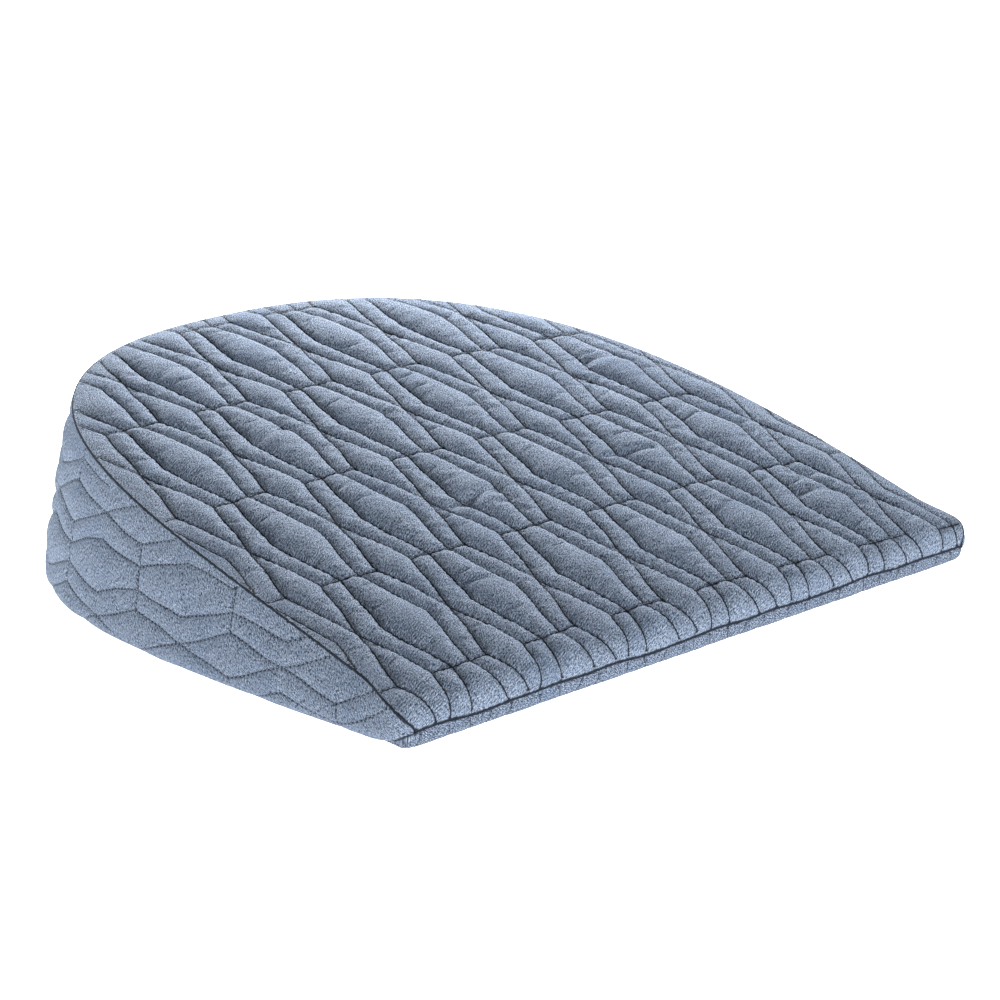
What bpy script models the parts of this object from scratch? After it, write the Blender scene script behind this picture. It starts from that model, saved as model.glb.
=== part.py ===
# Wedge pillow: a D-shaped foam wedge in a quilted cover of three sewn pieces.
# Metres, +Z up. The straight thin edge faces -Y, the tall round back faces +Y,
# and the origin is on the floor under the middle of the pillow.

import itertools
import math

import bmesh
import bpy
import numpy as np
from mathutils import Vector
from mathutils.geometry import delaunay_2d_cdt

MM = 0.001

# The wedge
WIDTH = 400 * MM
DEPTH = 362 * MM
ORIGIN_BEHIND_FRONT = 180.5 * MM
FRONT_SEAM_HEIGHT = 9 * MM
FRONT_HEIGHT = 19 * MM
BACK_HEIGHT = 104 * MM
SLOPE_BOW = 7 * MM
CORNER_RADIUS = 7 * MM
STRAIGHT_SIDE = 37 * MM
SIDE_POWER, BACK_POWER = 2.8, 3.5

# The top seam lies inside the widest outline, because the band leans in
TOP_SEAM_HALF_WIDTH = 195 * MM
TOP_SEAM_DEPTH = 350 * MM
TOP_STRAIGHT_SIDE = 25 * MM
TOP_SIDE_POWER = 2.4

# The edges
LIP_FULLNESS = 2.4
TOP_LIP_RADIUS = 11 * MM
BASE_LIP_RADIUS = 5.5 * MM
BASE_SEAM_HEIGHT = 0.8 * MM
BASE_SEAM_RISE_FROM = 25 * MM
BASE_SIDE_RADIUS = 2 * MM
BAND_LOWER_RADIUS = 7 * MM
BAND_RADIUS_FULL_AT = 30 * MM
BAND_BULGE = 0.8 * MM
EDGE_DROP = 1 * MM

# The cloth
PANEL_THICKNESS = 4 * MM
SEAM_DEPTH = 3.2 * MM
GAP = 0.3 * MM
TOP_PUFF = 2.4 * MM
BAND_PUFF = 1.1 * MM
STITCH_HALF_WIDTH = 4 * MM
PUFF_ROUNDNESS = 1.5

# The quilting: one repeat is COLUMN wide and ROW long
COLUMN = 57.5 * MM
ROW = 80 * MM
BAND_SCALE = 0.9
STITCH_LINES = (
    # place on the row's edge, place half way along the row, in columns from the middle
    (0.10, 0.257),
    (0.30, 0.50),
)
CREST_LINES = (
    (0.00, 0.00),
    (0.05, 0.128),
    (0.20, 0.378),
    (0.50, 0.50),
)
FLAT_EDGE = (-0.30, -0.20, -0.10, 0.0, 0.10, 0.20, 0.30)
STEPS_IN_HALF_ROW = 5
STITCH_CLEAR_OF_SEAM = 2.5 * MM
CREST_CLEAR_OF_STITCH = 2.2 * MM

# Where the repeat lies on the top panel, from the middle of the front edge
TOP_FIRST_COLUMN = 25.5 * MM
TOP_FIRST_ROW = 12.5 * MM
TOP_GRAIN_TURN = math.radians(-2.2)
TOP_ROW_BOW = 6.5 * MM
TOP_ROW_DRIFT = 7.5 * MM
SLOPE_STRETCH = 1.03

# Where the repeat lies on the band, from its left front end and its lower edge
BAND_FIRST_ROW = 194 * MM
BAND_FIRST_COLUMN = 41 * MM
BAND_GRAIN_TURN = math.radians(4.8)

# The band lies between the panels where it is at least this tall, and tapers in front of that
BAND_FULL_HEIGHT = 16 * MM
MOST_RADIUS_OF_HEIGHT = 0.55
MOST_REACH_OF_RADIUS = 0.8

# How finely the pieces are divided
EDGE_STEP = 12 * MM
CORNER_STEPS = 4
STEPS_BY_CORNER = (2.5 * MM, 5.5 * MM, 9 * MM, 14 * MM, 21 * MM)
INNER_STEP = 30 * MM
BAND_INNER_ROWS = 4
LIP_STEPS = (0.06, 0.3, 0.62, 1.0)
HIDDEN_CLEAR_OF_EDGE = 1.2 * MM
SAME_POINT = 0.4 * MM
WELD = 0.02 * MM
NO_LENGTH = 1e-9
SHARP_ANGLE = math.radians(40)
CLOTH_ROUGHNESS = 0.9

CLOTH_COLOUR = (0.165, 0.205, 0.265, 1.0)
BAND_COLOUR = (0.205, 0.25, 0.31, 1.0)


def quarter(share):
    """Height of a full quarter round, 0 to 1, at a share of its width."""
    share = np.clip(share, 0.0, 1.0)
    return (1.0 - (1.0 - share) ** LIP_FULLNESS) ** (1.0 / LIP_FULLNESS)


def smooth(share):
    share = np.clip(share, 0.0, 1.0)
    return share * share * (3.0 - 2.0 * share)


def top_height(y):
    """Height of the sloping top above the floor, before the front lip."""
    share = np.clip(y / TOP_SEAM_DEPTH, 0.0, 1.0)
    straight = FRONT_HEIGHT + (BACK_HEIGHT - FRONT_HEIGHT) * share
    return straight + SLOPE_BOW * 4.0 * share * (1.0 - share)


def d_curve(half_width, depth, straight, side_power):
    """Right half of a D outline from its straight side to the middle of the back."""
    share = 1.0 - np.linspace(1.0, 0.0, 600) ** 2.2
    y = CORNER_RADIUS + (depth - CORNER_RADIUS) * share
    run = np.clip((y - straight) / (depth - straight), 0.0, 1.0)
    x = half_width * np.maximum(1.0 - run**BACK_POWER, 0.0) ** (1.0 / side_power)
    return np.column_stack([x, y])


def run_of(points):
    """Distance along a line of points, at each point."""
    return np.r_[0.0, np.cumsum(np.linalg.norm(np.diff(points, axis=0), axis=1))]


def spread(points, shares):
    """Points at given shares of the length of a line of points."""
    run = run_of(points)
    return np.column_stack([np.interp(shares * run[-1], run, column) for column in points.T])


def mirrored(right):
    """A right-hand half, front to back, made a whole ring that runs anticlockwise."""
    left = right[-2:0:-1] * [-1.0, 1.0]
    return np.vstack([right, left])


def make_ring():
    """Plan outlines round the whole pillow, with matching points: widest line and top seam."""
    half = WIDTH / 2
    centre = np.array([half - CORNER_RADIUS, CORNER_RADIUS])
    front_count = round(centre[0] / EDGE_STEP)
    front = np.column_stack([np.linspace(0.0, centre[0], front_count + 1), np.zeros(front_count + 1)])
    turn = np.linspace(-math.pi / 2, 0.0, CORNER_STEPS + 1)[1:]
    corner = centre + CORNER_RADIUS * np.column_stack([np.cos(turn), np.sin(turn)])
    wide = d_curve(half, DEPTH, STRAIGHT_SIDE, SIDE_POWER)
    seam = d_curve(TOP_SEAM_HALF_WIDTH, TOP_SEAM_DEPTH, TOP_STRAIGHT_SIDE, TOP_SIDE_POWER)
    lean_in = smooth((seam[:, 1] - CORNER_RADIUS) / TOP_STRAIGHT_SIDE)
    seam[:, 0] += (half - TOP_SEAM_HALF_WIDTH) * (1.0 - lean_in)
    length = run_of(wide)[-1]
    side_count = round(length / EDGE_STEP)
    near_corner = np.array(STEPS_BY_CORNER) / length
    shares = np.r_[near_corner, np.linspace(near_corner[-1], 1.0, side_count)[1:]]
    shared = np.vstack([front, corner])
    outer = mirrored(np.vstack([shared, spread(wide, shares)]))
    inner = mirrored(np.vstack([shared, spread(seam, shares)]))
    return outer, inner, front_count


WIDEST, TOP_SEAM, FRONT_COUNT = make_ring()
RING = len(WIDEST)
# The band runs from just past the right tip, round the back, to just before the left tip
BAND_FIRST, BAND_LAST = FRONT_COUNT + 1, RING - FRONT_COUNT - 1


def outward(ring):
    """Plan direction out of the pillow at each point of a ring."""
    along = np.roll(ring, -1, axis=0) - np.roll(ring, 1, axis=0)
    across = np.column_stack([along[:, 1], -along[:, 0]])
    return across / np.linalg.norm(across, axis=1)[:, None]


OUTWARD = outward(WIDEST)
SEAM_OUTWARD = outward(TOP_SEAM)


def lip_height(y):
    """Height of the outer face over the front lip and up the slope."""
    return FRONT_SEAM_HEIGHT + (top_height(y) - FRONT_SEAM_HEIGHT) * quarter(y / TOP_LIP_RADIUS)


def slope_line():
    """The middle of the top panel from the front seam back: plan depth, height and cloth length."""
    lip = TOP_LIP_RADIUS * (1.0 - np.cos(np.linspace(0.0, math.pi / 2, 60)))
    y = np.r_[lip, np.linspace(TOP_LIP_RADIUS, TOP_SEAM_DEPTH, 400)[1:]]
    z = lip_height(y)
    return y, z, run_of(np.column_stack([y, z]))


SLOPE_Y, SLOPE_Z, SLOPE_RUN = slope_line()


def developed(y):
    """Cloth length from the front seam, for a plan depth that may lie past either end."""
    after_lip = TOP_LIP_RADIUS + STITCH_CLEAR_OF_SEAM
    kept = min(max(y, after_lip), TOP_SEAM_DEPTH)
    return float(np.interp(kept, SLOPE_Y, SLOPE_RUN)) + (y - kept) * SLOPE_STRETCH


def seam_drop(y):
    return EDGE_DROP * quarter(y / TOP_LIP_RADIUS)


TOP_SEAM_Z = lip_height(TOP_SEAM[:, 1]) - seam_drop(TOP_SEAM[:, 1])
BASE_RISE = (1.0 - np.clip(WIDEST[:, 1] / BASE_SEAM_RISE_FROM, 0.0, 1.0)) ** 3
BASE_SEAM_Z = BASE_SEAM_HEIGHT + (FRONT_SEAM_HEIGHT - BASE_SEAM_HEIGHT) * BASE_RISE
BAND_HEIGHT = np.maximum(TOP_SEAM_Z - BASE_SEAM_Z, 0.0)
RADIUS_GROWTH = np.clip(WIDEST[:, 1] / BAND_RADIUS_FULL_AT, 0.0, 1.0)
LOWER_RADIUS = np.minimum(BAND_LOWER_RADIUS * RADIUS_GROWTH, MOST_RADIUS_OF_HEIGHT * BAND_HEIGHT)
# 1 where the band is between the panels, 0 where they meet at the front seam
BAND_SHARE = np.clip(BAND_HEIGHT / BAND_FULL_HEIGHT, 0.0, 1.0)
BASE_SHARE = np.minimum(BAND_SHARE, MOST_REACH_OF_RADIUS * LOWER_RADIUS / PANEL_THICKNESS)


def with_height(plan, height):
    return np.column_stack([plan, height])


# Inner line of the top seam, and outer line of the base seam
TOP_INNER = with_height(TOP_SEAM - SEAM_OUTWARD * PANEL_THICKNESS, TOP_SEAM_Z - SEAM_DEPTH * BAND_SHARE)
BASE_OUTER = with_height(WIDEST - OUTWARD * LOWER_RADIUS[:, None], BASE_SEAM_Z)
# Distance along the band at each ring place, and the length of its section there
ALONG = run_of(WIDEST)
TALL = LOWER_RADIUS * (math.pi / 2 - 1.0) + BAND_HEIGHT


def section(at, share, depth):
    """Points of the band's section at ring places `at`, from base seam 0 to top seam 1.

    A quarter round turns in under the pillow, and above it the band leans in to the top seam.
    depth 0 is the outer face and 1 the inner face."""
    places = np.arange(RING)

    def here(values):
        return np.column_stack([np.interp(at, places, column) for column in np.atleast_2d(values.T)])

    out = here(OUTWARD)
    wide = here(WIDEST)
    radius, height = here(LOWER_RADIUS)[:, 0], here(BAND_HEIGHT)[:, 0]
    base_z, band_share, base_share = (here(v)[:, 0] for v in (BASE_SEAM_Z, BAND_SHARE, BASE_SHARE))
    top = here(with_height(TOP_SEAM, TOP_SEAM_Z)) * (1.0 - depth) + here(TOP_INNER) * depth
    arc = radius * math.pi / 2
    round_share = arc / np.maximum(arc + height - radius, NO_LENGTH)
    low = np.clip(share / np.maximum(round_share, NO_LENGTH), 0.0, 1.0) * math.pi / 2
    high = np.clip((share - round_share) / (1.0 - round_share), 0.0, 1.0)
    thick = PANEL_THICKNESS * depth
    reach_in = PANEL_THICKNESS * (1.0 - base_share) * depth
    reach_up = PANEL_THICKNESS * base_share * depth
    low_r = -thick - (radius + reach_in - thick) * (1.0 - np.sin(low))
    low_z = base_z + reach_up + (radius - reach_up) * (1.0 - np.cos(low))
    lower = np.column_stack([wide + out * low_r[:, None], low_z])
    start = np.column_stack([wide - out * thick, base_z + radius])
    upper = start * (1.0 - high[:, None]) + top * high[:, None]
    swell = BAND_BULGE * band_share * np.sin(math.pi * high)
    upper[:, :2] += out * swell[:, None]
    return np.where((high > 0.0)[:, None], upper, lower)


def quilting(column, row, columns, rows):
    """Stitch lines and free crest points of the repeat, in plain cell coordinates.

    Each half row runs from a row edge, where the lines stand apart, to its middle."""
    lines, crests = [], []
    steps = np.linspace(0.0, 1.0, STEPS_IN_HALF_ROW + 1)

    def slanting(i, j, side, way, start, end):
        across = i + side * (start + (end - start) * steps)
        return list(zip(across * column, (j + way * steps) * row))

    for i, j in itertools.product(columns, rows):
        lines.append([((i + at) * column, j * row) for at in FLAT_EDGE])
        for side, way in itertools.product((-1, 1), (-0.5, 0.5)):
            lines += [slanting(i, j, side, way, *places) for places in STITCH_LINES]
            for places in CREST_LINES:
                crests += slanting(i, j, side, way, *places)
    return lines, crests


def top_cloth_place(point):
    """A point of the flat repeat, laid on the top panel's flat pattern."""
    u, v = point[0] + TOP_FIRST_COLUMN, point[1] + TOP_FIRST_ROW
    turn = TOP_GRAIN_TURN
    x = u * math.cos(turn) - v * math.sin(turn)
    y = u * math.sin(turn) + v * math.cos(turn)
    y += TOP_ROW_BOW * (1.0 - (x / (WIDTH / 2)) ** 2)
    y -= TOP_ROW_DRIFT * math.sin(math.pi * np.clip(y / TOP_SEAM_DEPTH, 0.0, 1.0))
    return (x, developed(y))


def band_cloth_place(point):
    """A point of the flat repeat, turned a quarter and laid on the band's flat pattern."""
    up, along = point
    turn = BAND_GRAIN_TURN
    from_left_front = BAND_FIRST_ROW - along * math.cos(turn) + up * math.sin(turn)
    height = BAND_FIRST_COLUMN + along * math.sin(turn) + up * math.cos(turn)
    return (ALONG[BAND_LAST] - from_left_front, height)


def inside(points, outline):
    """Which points lie inside a closed outline."""
    x, y = points[:, 0, None], points[:, 1, None]
    x1, y1 = outline[:, 0], outline[:, 1]
    x2, y2 = np.roll(x1, -1), np.roll(y1, -1)
    crosses = (y1 > y) != (y2 > y)
    run = np.where(y2 == y1, 1.0, y2 - y1)
    return (crosses & (x < (x2 - x1) * (y - y1) / run + x1)).sum(axis=1) % 2 == 1


def distance(points, starts, ends):
    """Shortest distance from each point to a set of straight pieces."""
    along = ends - starts
    length = np.maximum((along**2).sum(axis=1), NO_LENGTH**2)
    found = []
    for point in points:
        reach = point - starts
        share = np.clip((reach * along).sum(axis=1) / length, 0.0, 1.0)
        found.append(np.linalg.norm(reach - share[:, None] * along, axis=1).min())
    return np.array(found)


def triangles(boundary, lines, crests, margin):
    """Divide an outline into triangles whose edges follow the stitch lines.

    Gives the points, the triangles, each point's number in the outline, and the stitched pieces."""
    edge_from, edge_to = boundary, np.roll(boundary, -1, axis=0)
    points = [tuple(p) for p in boundary]
    index = {}
    edges = []

    def number(point):
        key = (round(point[0] / SAME_POINT), round(point[1] / SAME_POINT))
        if key not in index:
            index[key] = len(points)
            points.append(point)
        return index[key]

    line_starts, line_ends = [], []
    for line in lines:
        at = np.array(line)
        kept = inside(at, boundary) & (distance(at, edge_from, edge_to) > margin)
        for k in range(len(line) - 1):
            if kept[k] and kept[k + 1]:
                edges.append((number(line[k]), number(line[k + 1])))
            if kept[k] or kept[k + 1]:
                line_starts.append(line[k])
                line_ends.append(line[k + 1])
    line_starts, line_ends = np.array(line_starts), np.array(line_ends)
    if len(crests):
        at = np.array(crests)
        free = inside(at, boundary) & (distance(at, edge_from, edge_to) > margin)
        if len(line_starts):
            free &= distance(at, line_starts, line_ends) > CREST_CLEAR_OF_STITCH
        for point in at[free]:
            number(tuple(point))
    flat = [Vector(p) for p in points]
    made = delaunay_2d_cdt(flat, edges, [list(range(len(boundary)))], 1, NO_LENGTH)
    where = np.array([tuple(p) for p in made[0]])
    came_from = [sources[0] if sources else -1 for sources in made[3]]
    return where, made[2], came_from, (line_starts, line_ends)


def puff(points, boundary, stitch, height):
    """How far the cloth stands above its stitch lines and its edge."""
    near = distance(points, boundary, np.roll(boundary, -1, axis=0))
    if len(stitch[0]):
        near = np.minimum(near, distance(points, *stitch))
    return height * (1.0 - np.exp(-((near / STITCH_HALF_WIDTH) ** PUFF_ROUNDNESS)))


def add_faces(mesh, corners, faces):
    for face in faces:
        picked = [corners[k] for k in face]
        if len(set(picked)) > 2 and not mesh.faces.get(picked):
            mesh.faces.new(picked)


def add_points(mesh, points):
    return [mesh.verts.new((p[0], p[1] - ORIGIN_BEHIND_FRONT, p[2])) for p in points]


def add_rows(mesh, rows, closed):
    """Pairs of triangles between neighbouring rows of vertices with the same count.

    The shared edge always runs the same way, so that facing pieces keep their gap."""
    for lower, upper in zip(rows, rows[1:]):
        count = len(lower)
        for k in range(count if closed else count - 1):
            following = (k + 1) % count
            mesh.faces.new((lower[k], lower[following], upper[following]))
            mesh.faces.new((lower[k], upper[following], upper[k]))


def finish(mesh, name, colour):
    """Close the mesh, turn its faces outwards and make it a named object."""
    bmesh.ops.remove_doubles(mesh, verts=mesh.verts, dist=WELD)
    bmesh.ops.triangulate(mesh, faces=mesh.faces)
    bmesh.ops.recalc_face_normals(mesh, faces=mesh.faces)
    data = bpy.data.meshes.new(name)
    mesh.to_mesh(data)
    mesh.free()
    data.shade_smooth()
    data.set_sharp_from_angle(angle=SHARP_ANGLE)
    material = bpy.data.materials.new(name + "_cloth")
    material.use_nodes = True
    shader = material.node_tree.nodes["Principled BSDF"]
    shader.inputs["Base Color"].default_value = colour
    shader.inputs["Roughness"].default_value = CLOTH_ROUGHNESS
    shader.inputs["Metallic"].default_value = 0.0
    data.materials.append(material)
    made = bpy.data.objects.new(name, data)
    bpy.context.scene.collection.objects.link(made)
    return made


def top_outer(flat, raised):
    """Outer face of the top panel, from its flat pattern."""
    y = np.interp(flat[:, 1], SLOPE_RUN, SLOPE_Y)
    z = np.interp(flat[:, 1], SLOPE_RUN, SLOPE_Z)
    lean_y = -np.interp(flat[:, 1], SLOPE_RUN, np.gradient(SLOPE_Z, SLOPE_RUN))
    lean_z = np.interp(flat[:, 1], SLOPE_RUN, np.gradient(SLOPE_Y, SLOPE_RUN))
    drop = seam_drop(y) * (1.0 - raised / TOP_PUFF)
    return np.column_stack([flat[:, 0], y + lean_y * raised, z + lean_z * raised - drop])


def top_inner_height(y):
    """Height of the top panel's hidden face."""
    lip = quarter((y - PANEL_THICKNESS) / (TOP_LIP_RADIUS - PANEL_THICKNESS))
    return FRONT_SEAM_HEIGHT + (top_height(y) - PANEL_THICKNESS - FRONT_SEAM_HEIGHT) * lip


def hidden_top():
    """Points and triangles of the hidden face, with its edge at the seam's inner line."""
    boundary = TOP_INNER[:, :2]
    rows = list(PANEL_THICKNESS + (TOP_LIP_RADIUS - PANEL_THICKNESS) * np.array(LIP_STEPS))
    rows += list(np.arange(TOP_LIP_RADIUS + INNER_STEP, TOP_SEAM_DEPTH, INNER_STEP))
    count = round(WIDTH / INNER_STEP)
    free = [(x, y) for y in rows for x in np.linspace(-WIDTH / 2, WIDTH / 2, count + 1)]
    where, faces, came_from, _ = triangles(boundary, [], free, HIDDEN_CLEAR_OF_EDGE)
    points = with_height(where, top_inner_height(where[:, 1]))
    for k, source in enumerate(came_from):
        if 0 <= source < RING:
            points[k] = TOP_INNER[source]
    return points, faces, came_from


def ordered(corners, came_from, count):
    """The vertices of the boundary, in the boundary's own order."""
    found = {source: corner for source, corner in zip(came_from, corners) if 0 <= source < count}
    return [found[k] for k in range(count)]


def build_top_panel():
    mesh = bmesh.new()
    boundary = np.column_stack([TOP_SEAM[:, 0], np.interp(TOP_SEAM[:, 1], SLOPE_Y, SLOPE_RUN)])
    lines, crests = quilting(COLUMN, ROW, range(-4, 5), range(-1, 6))
    lines = [[top_cloth_place(p) for p in line] for line in lines]
    crests = [top_cloth_place(p) for p in crests]
    where, faces, came_from, stitch = triangles(boundary, lines, crests, STITCH_CLEAR_OF_SEAM)
    raised = puff(where, boundary, stitch, TOP_PUFF)
    points = top_outer(where, raised)
    for k, source in enumerate(came_from):
        if 0 <= source < RING:
            points[k] = (*TOP_SEAM[source], TOP_SEAM_Z[source])
    outer = add_points(mesh, points)
    add_faces(mesh, outer, faces)
    inner_points, inner_faces, inner_from = hidden_top()
    inner = add_points(mesh, inner_points)
    add_faces(mesh, inner, inner_faces)
    add_rows(mesh, [ordered(outer, came_from, RING), ordered(inner, inner_from, RING)], closed=True)
    return finish(mesh, "top_panel", CLOTH_COLOUR)


def band_normal(at, share, nudge=0.01):
    """Outward direction of the band's outer face."""
    up = section(at, np.minimum(share + nudge, 1.0), 0.0) - section(at, np.maximum(share - nudge, 0.0), 0.0)
    along = section(at + nudge, share, 0.0) - section(at - nudge, share, 0.0)
    normal = np.cross(along, up)
    return normal / np.maximum(np.linalg.norm(normal, axis=1), NO_LENGTH)[:, None]


def build_side_band():
    mesh = bmesh.new()
    places = np.arange(BAND_FIRST, BAND_LAST + 1)
    along, tall = ALONG[places], TALL[places]
    count = len(places)
    ends = np.arange(1, BAND_INNER_ROWS) / BAND_INNER_ROWS
    boundary = np.vstack([
        np.column_stack([along, np.zeros(count)]),
        np.column_stack([np.full(len(ends), along[-1]), ends * tall[-1]]),
        np.column_stack([along, tall])[::-1],
        np.column_stack([np.full(len(ends), along[0]), ends[::-1] * tall[0]]),
    ])
    lines, crests = quilting(COLUMN * BAND_SCALE, ROW * BAND_SCALE, range(-3, 5), range(-12, 5))
    lines = [[band_cloth_place(p) for p in line] for line in lines]
    crests = [band_cloth_place(p) for p in crests]
    where, faces, came_from, stitch = triangles(boundary, lines, crests, STITCH_CLEAR_OF_SEAM)
    at = np.interp(where[:, 0], along, places)
    share = np.clip(where[:, 1] / np.interp(where[:, 0], along, tall), 0.0, 1.0)
    points = section(at, share, 0.0)
    points[:, 2] -= GAP * share
    points += band_normal(at, share) * puff(where, boundary, stitch, BAND_PUFF)[:, None]
    outer = add_points(mesh, points)
    add_faces(mesh, outer, faces)
    inner = []
    for row in np.arange(BAND_INNER_ROWS + 1) / BAND_INNER_ROWS:
        line = section(places.astype(float), np.full(count, row), 1.0)
        line[:, 2] -= GAP * row
        inner.append(add_points(mesh, line))
    add_rows(mesh, inner, closed=False)
    rim = ordered(outer, came_from, len(boundary))
    low, right_end = rim[:count], rim[count : count + len(ends)]
    up, left_end = rim[count + len(ends) : 2 * count + len(ends)][::-1], rim[2 * count + len(ends) :][::-1]
    add_rows(mesh, [low, inner[0]], closed=False)
    add_rows(mesh, [up, inner[-1]], closed=False)
    add_rows(mesh, [[low[-1], *right_end, up[-1]], [line[-1] for line in inner]], closed=False)
    add_rows(mesh, [[low[0], *left_end, up[0]], [line[0] for line in inner]], closed=False)
    return finish(mesh, "side_band", BAND_COLOUR)


def build_body():
    """Foam and base panel as one solid: its underside and the lower half of the lip show."""
    mesh = bmesh.new()
    covered = mesh.verts.layers.int.new("covered")
    points, faces, came_from = hidden_top()
    top = add_points(mesh, points)
    add_faces(mesh, top, faces)
    places = np.arange(RING, dtype=float)
    sides = [section(places, np.full(RING, row / BAND_INNER_ROWS), 1.0) for row in range(BAND_INNER_ROWS)]
    covered_rows = [add_points(mesh, row) for row in sides]
    edge = BASE_OUTER.copy()
    edge[:, :2] -= OUTWARD * (GAP * BASE_SHARE)[:, None]
    edge[:, 2] -= GAP * (1.0 - BASE_SHARE)
    reach = BASE_SIDE_RADIUS + (BASE_LIP_RADIUS - BASE_SIDE_RADIUS) * (1.0 - BASE_SHARE)
    base_rows = []
    for share in (*reversed(LIP_STEPS), 0.0):
        plan = edge[:, :2] - OUTWARD * (reach * share)[:, None]
        base_rows.append(add_points(mesh, with_height(plan, edge[:, 2] * (1.0 - quarter(share)))))
    add_rows(mesh, base_rows + covered_rows + [ordered(top, came_from, RING)], closed=True)
    mesh.faces.new(base_rows[0][::-1])
    for corner in itertools.chain(top, *covered_rows):
        corner[covered] = 1
    bmesh.ops.remove_doubles(mesh, verts=mesh.verts, dist=WELD)
    bmesh.ops.recalc_face_normals(mesh, faces=mesh.faces)
    mesh.normal_update()
    for corner in mesh.verts:
        if corner[covered]:
            corner.co -= corner.normal * GAP * corner.calc_shell_factor()
    return finish(mesh, "foam_and_base_panel", CLOTH_COLOUR)


def main():
    for old in list(bpy.data.objects):
        bpy.data.objects.remove(old)
    build_body()
    build_top_panel()
    build_side_band()


main()
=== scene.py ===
import itertools
import math

import bmesh
import bpy
import numpy as np
from mathutils import Matrix, Vector, kdtree
from mathutils.geometry import delaunay_2d_cdt


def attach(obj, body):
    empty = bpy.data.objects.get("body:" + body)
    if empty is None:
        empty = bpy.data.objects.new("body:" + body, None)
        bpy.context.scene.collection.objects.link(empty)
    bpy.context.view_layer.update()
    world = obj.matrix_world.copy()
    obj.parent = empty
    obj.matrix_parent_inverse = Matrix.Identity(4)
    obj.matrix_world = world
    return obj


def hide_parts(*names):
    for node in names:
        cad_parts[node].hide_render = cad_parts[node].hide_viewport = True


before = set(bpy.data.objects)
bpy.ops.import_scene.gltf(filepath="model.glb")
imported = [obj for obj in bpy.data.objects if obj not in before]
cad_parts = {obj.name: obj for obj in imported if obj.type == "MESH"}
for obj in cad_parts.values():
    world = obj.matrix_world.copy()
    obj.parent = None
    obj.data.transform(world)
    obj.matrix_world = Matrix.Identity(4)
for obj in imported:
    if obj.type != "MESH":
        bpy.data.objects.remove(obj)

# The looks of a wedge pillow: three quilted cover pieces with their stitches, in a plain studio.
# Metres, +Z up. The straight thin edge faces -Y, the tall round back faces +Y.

bl_info = {
    "name": "Quilted Wedge Pillow",
    "version": (1, 0, 0),
    "blender": (4, 5, 0),
    "location": "3D View > Sidebar > Pillow",
    "description": "Sews the quilted cover of a wedge pillow round its plain solids",
    "category": "Add Mesh",
}

MM = 0.001
BODY = "root"

# The wedge, as its solids have it
WIDTH = 400 * MM
DEPTH = 362 * MM
ORIGIN_BEHIND_FRONT = 180.5 * MM
FRONT_SEAM_HEIGHT = 9 * MM
FRONT_HEIGHT = 19 * MM
BACK_HEIGHT = 104 * MM
SLOPE_BOW = 7 * MM
CORNER_RADIUS = 7 * MM
STRAIGHT_SIDE = 37 * MM
SIDE_POWER, BACK_POWER = 2.8, 3.5
TOP_SEAM_HALF_WIDTH = 195 * MM
TOP_SEAM_DEPTH = 350 * MM
TOP_STRAIGHT_SIDE = 25 * MM
TOP_SIDE_POWER = 2.4

# Its edges. They are the solids' edges too, but for the base seam, which rises from further back here
LIP_FULLNESS = 2.4
TOP_LIP_RADIUS = 11 * MM
BASE_LIP_RADIUS = 5.5 * MM
BASE_SEAM_HEIGHT = 0.8 * MM
BASE_SEAM_RISE_FROM = 42 * MM
BASE_SIDE_RADIUS = 2 * MM
BAND_LOWER_RADIUS = 7 * MM
BAND_RADIUS_FULL_AT = 30 * MM
BAND_BULGE = 0.8 * MM
EDGE_DROP = 1 * MM
BAND_FULL_HEIGHT = 16 * MM
MOST_RADIUS_OF_HEIGHT = 0.55
MOST_REACH_OF_RADIUS = 0.8

# The cloth of each panel, and the gap that its solids keep
PANEL_THICKNESS = 4 * MM
SEAM_DEPTH = 3.2 * MM
GAP = 0.3 * MM

# The quilting: one repeat is a column wide and a row long
COLUMN = 57.5 * MM
ROW = 80 * MM
REPEAT = np.array([COLUMN, ROW])
FLAT_EDGE = 0.30
STITCH_LINES = (
    # place on the row's edge, place half way along the row, in columns from the middle
    (0.10, 0.257),
    (FLAT_EDGE, 0.50),
)
BAND_SCALE = 0.9
TOP_FIRST_COLUMN = 25.5 * MM
TOP_FIRST_ROW = 12.5 * MM
TOP_GRAIN_TURN = math.radians(-2.2)
TOP_ROW_BOW = 6.5 * MM
TOP_ROW_DRIFT = 7.5 * MM
SLOPE_STRETCH = 1.03
BAND_FIRST_ROW = 194 * MM
BAND_FIRST_COLUMN = 41 * MM
BAND_GRAIN_TURN = math.radians(4.8)
BASE_FIRST_COLUMN = -8 * MM
BASE_FIRST_ROW = -14 * MM

# How finely outlines are worked out, and how the points of a D outline crowd at the middle of its back
OUTLINE_POINTS = 1200
OUTLINE_CROWDING = 2.2
SLOPE_POINTS = 400
LIP_POINTS = 60

# How finely the cloth is divided
RING_STEP = 2.2 * MM
CORNER_STEPS = 8
TIP_STEPS = 1
LINE_STEP = 1.7 * MM
FLANKS = (0.8 * MM, 1.8 * MM)
SEAM_ROWS = (0.8 * MM, 1.8 * MM)
BASE_SEAM_ROWS = (0.06 * MM, 0.2 * MM, 0.45 * MM, 0.9 * MM, 1.8 * MM)
EVEN_STEP = 2.1 * MM
UNEVEN = 0.25
SEED = 11
INNER_STEP = 30 * MM
BAND_INNER_ROWS = 4
LIP_STEPS = (0.06, 0.3, 0.62, 1.0)
CLEAR_OF_SEAM = 1.2 * MM
LEAST_REACH = 5 * MM
NUDGE = 0.01
NO_LENGTH = 1e-9
SHARP_ANGLE = math.radians(50)

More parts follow.
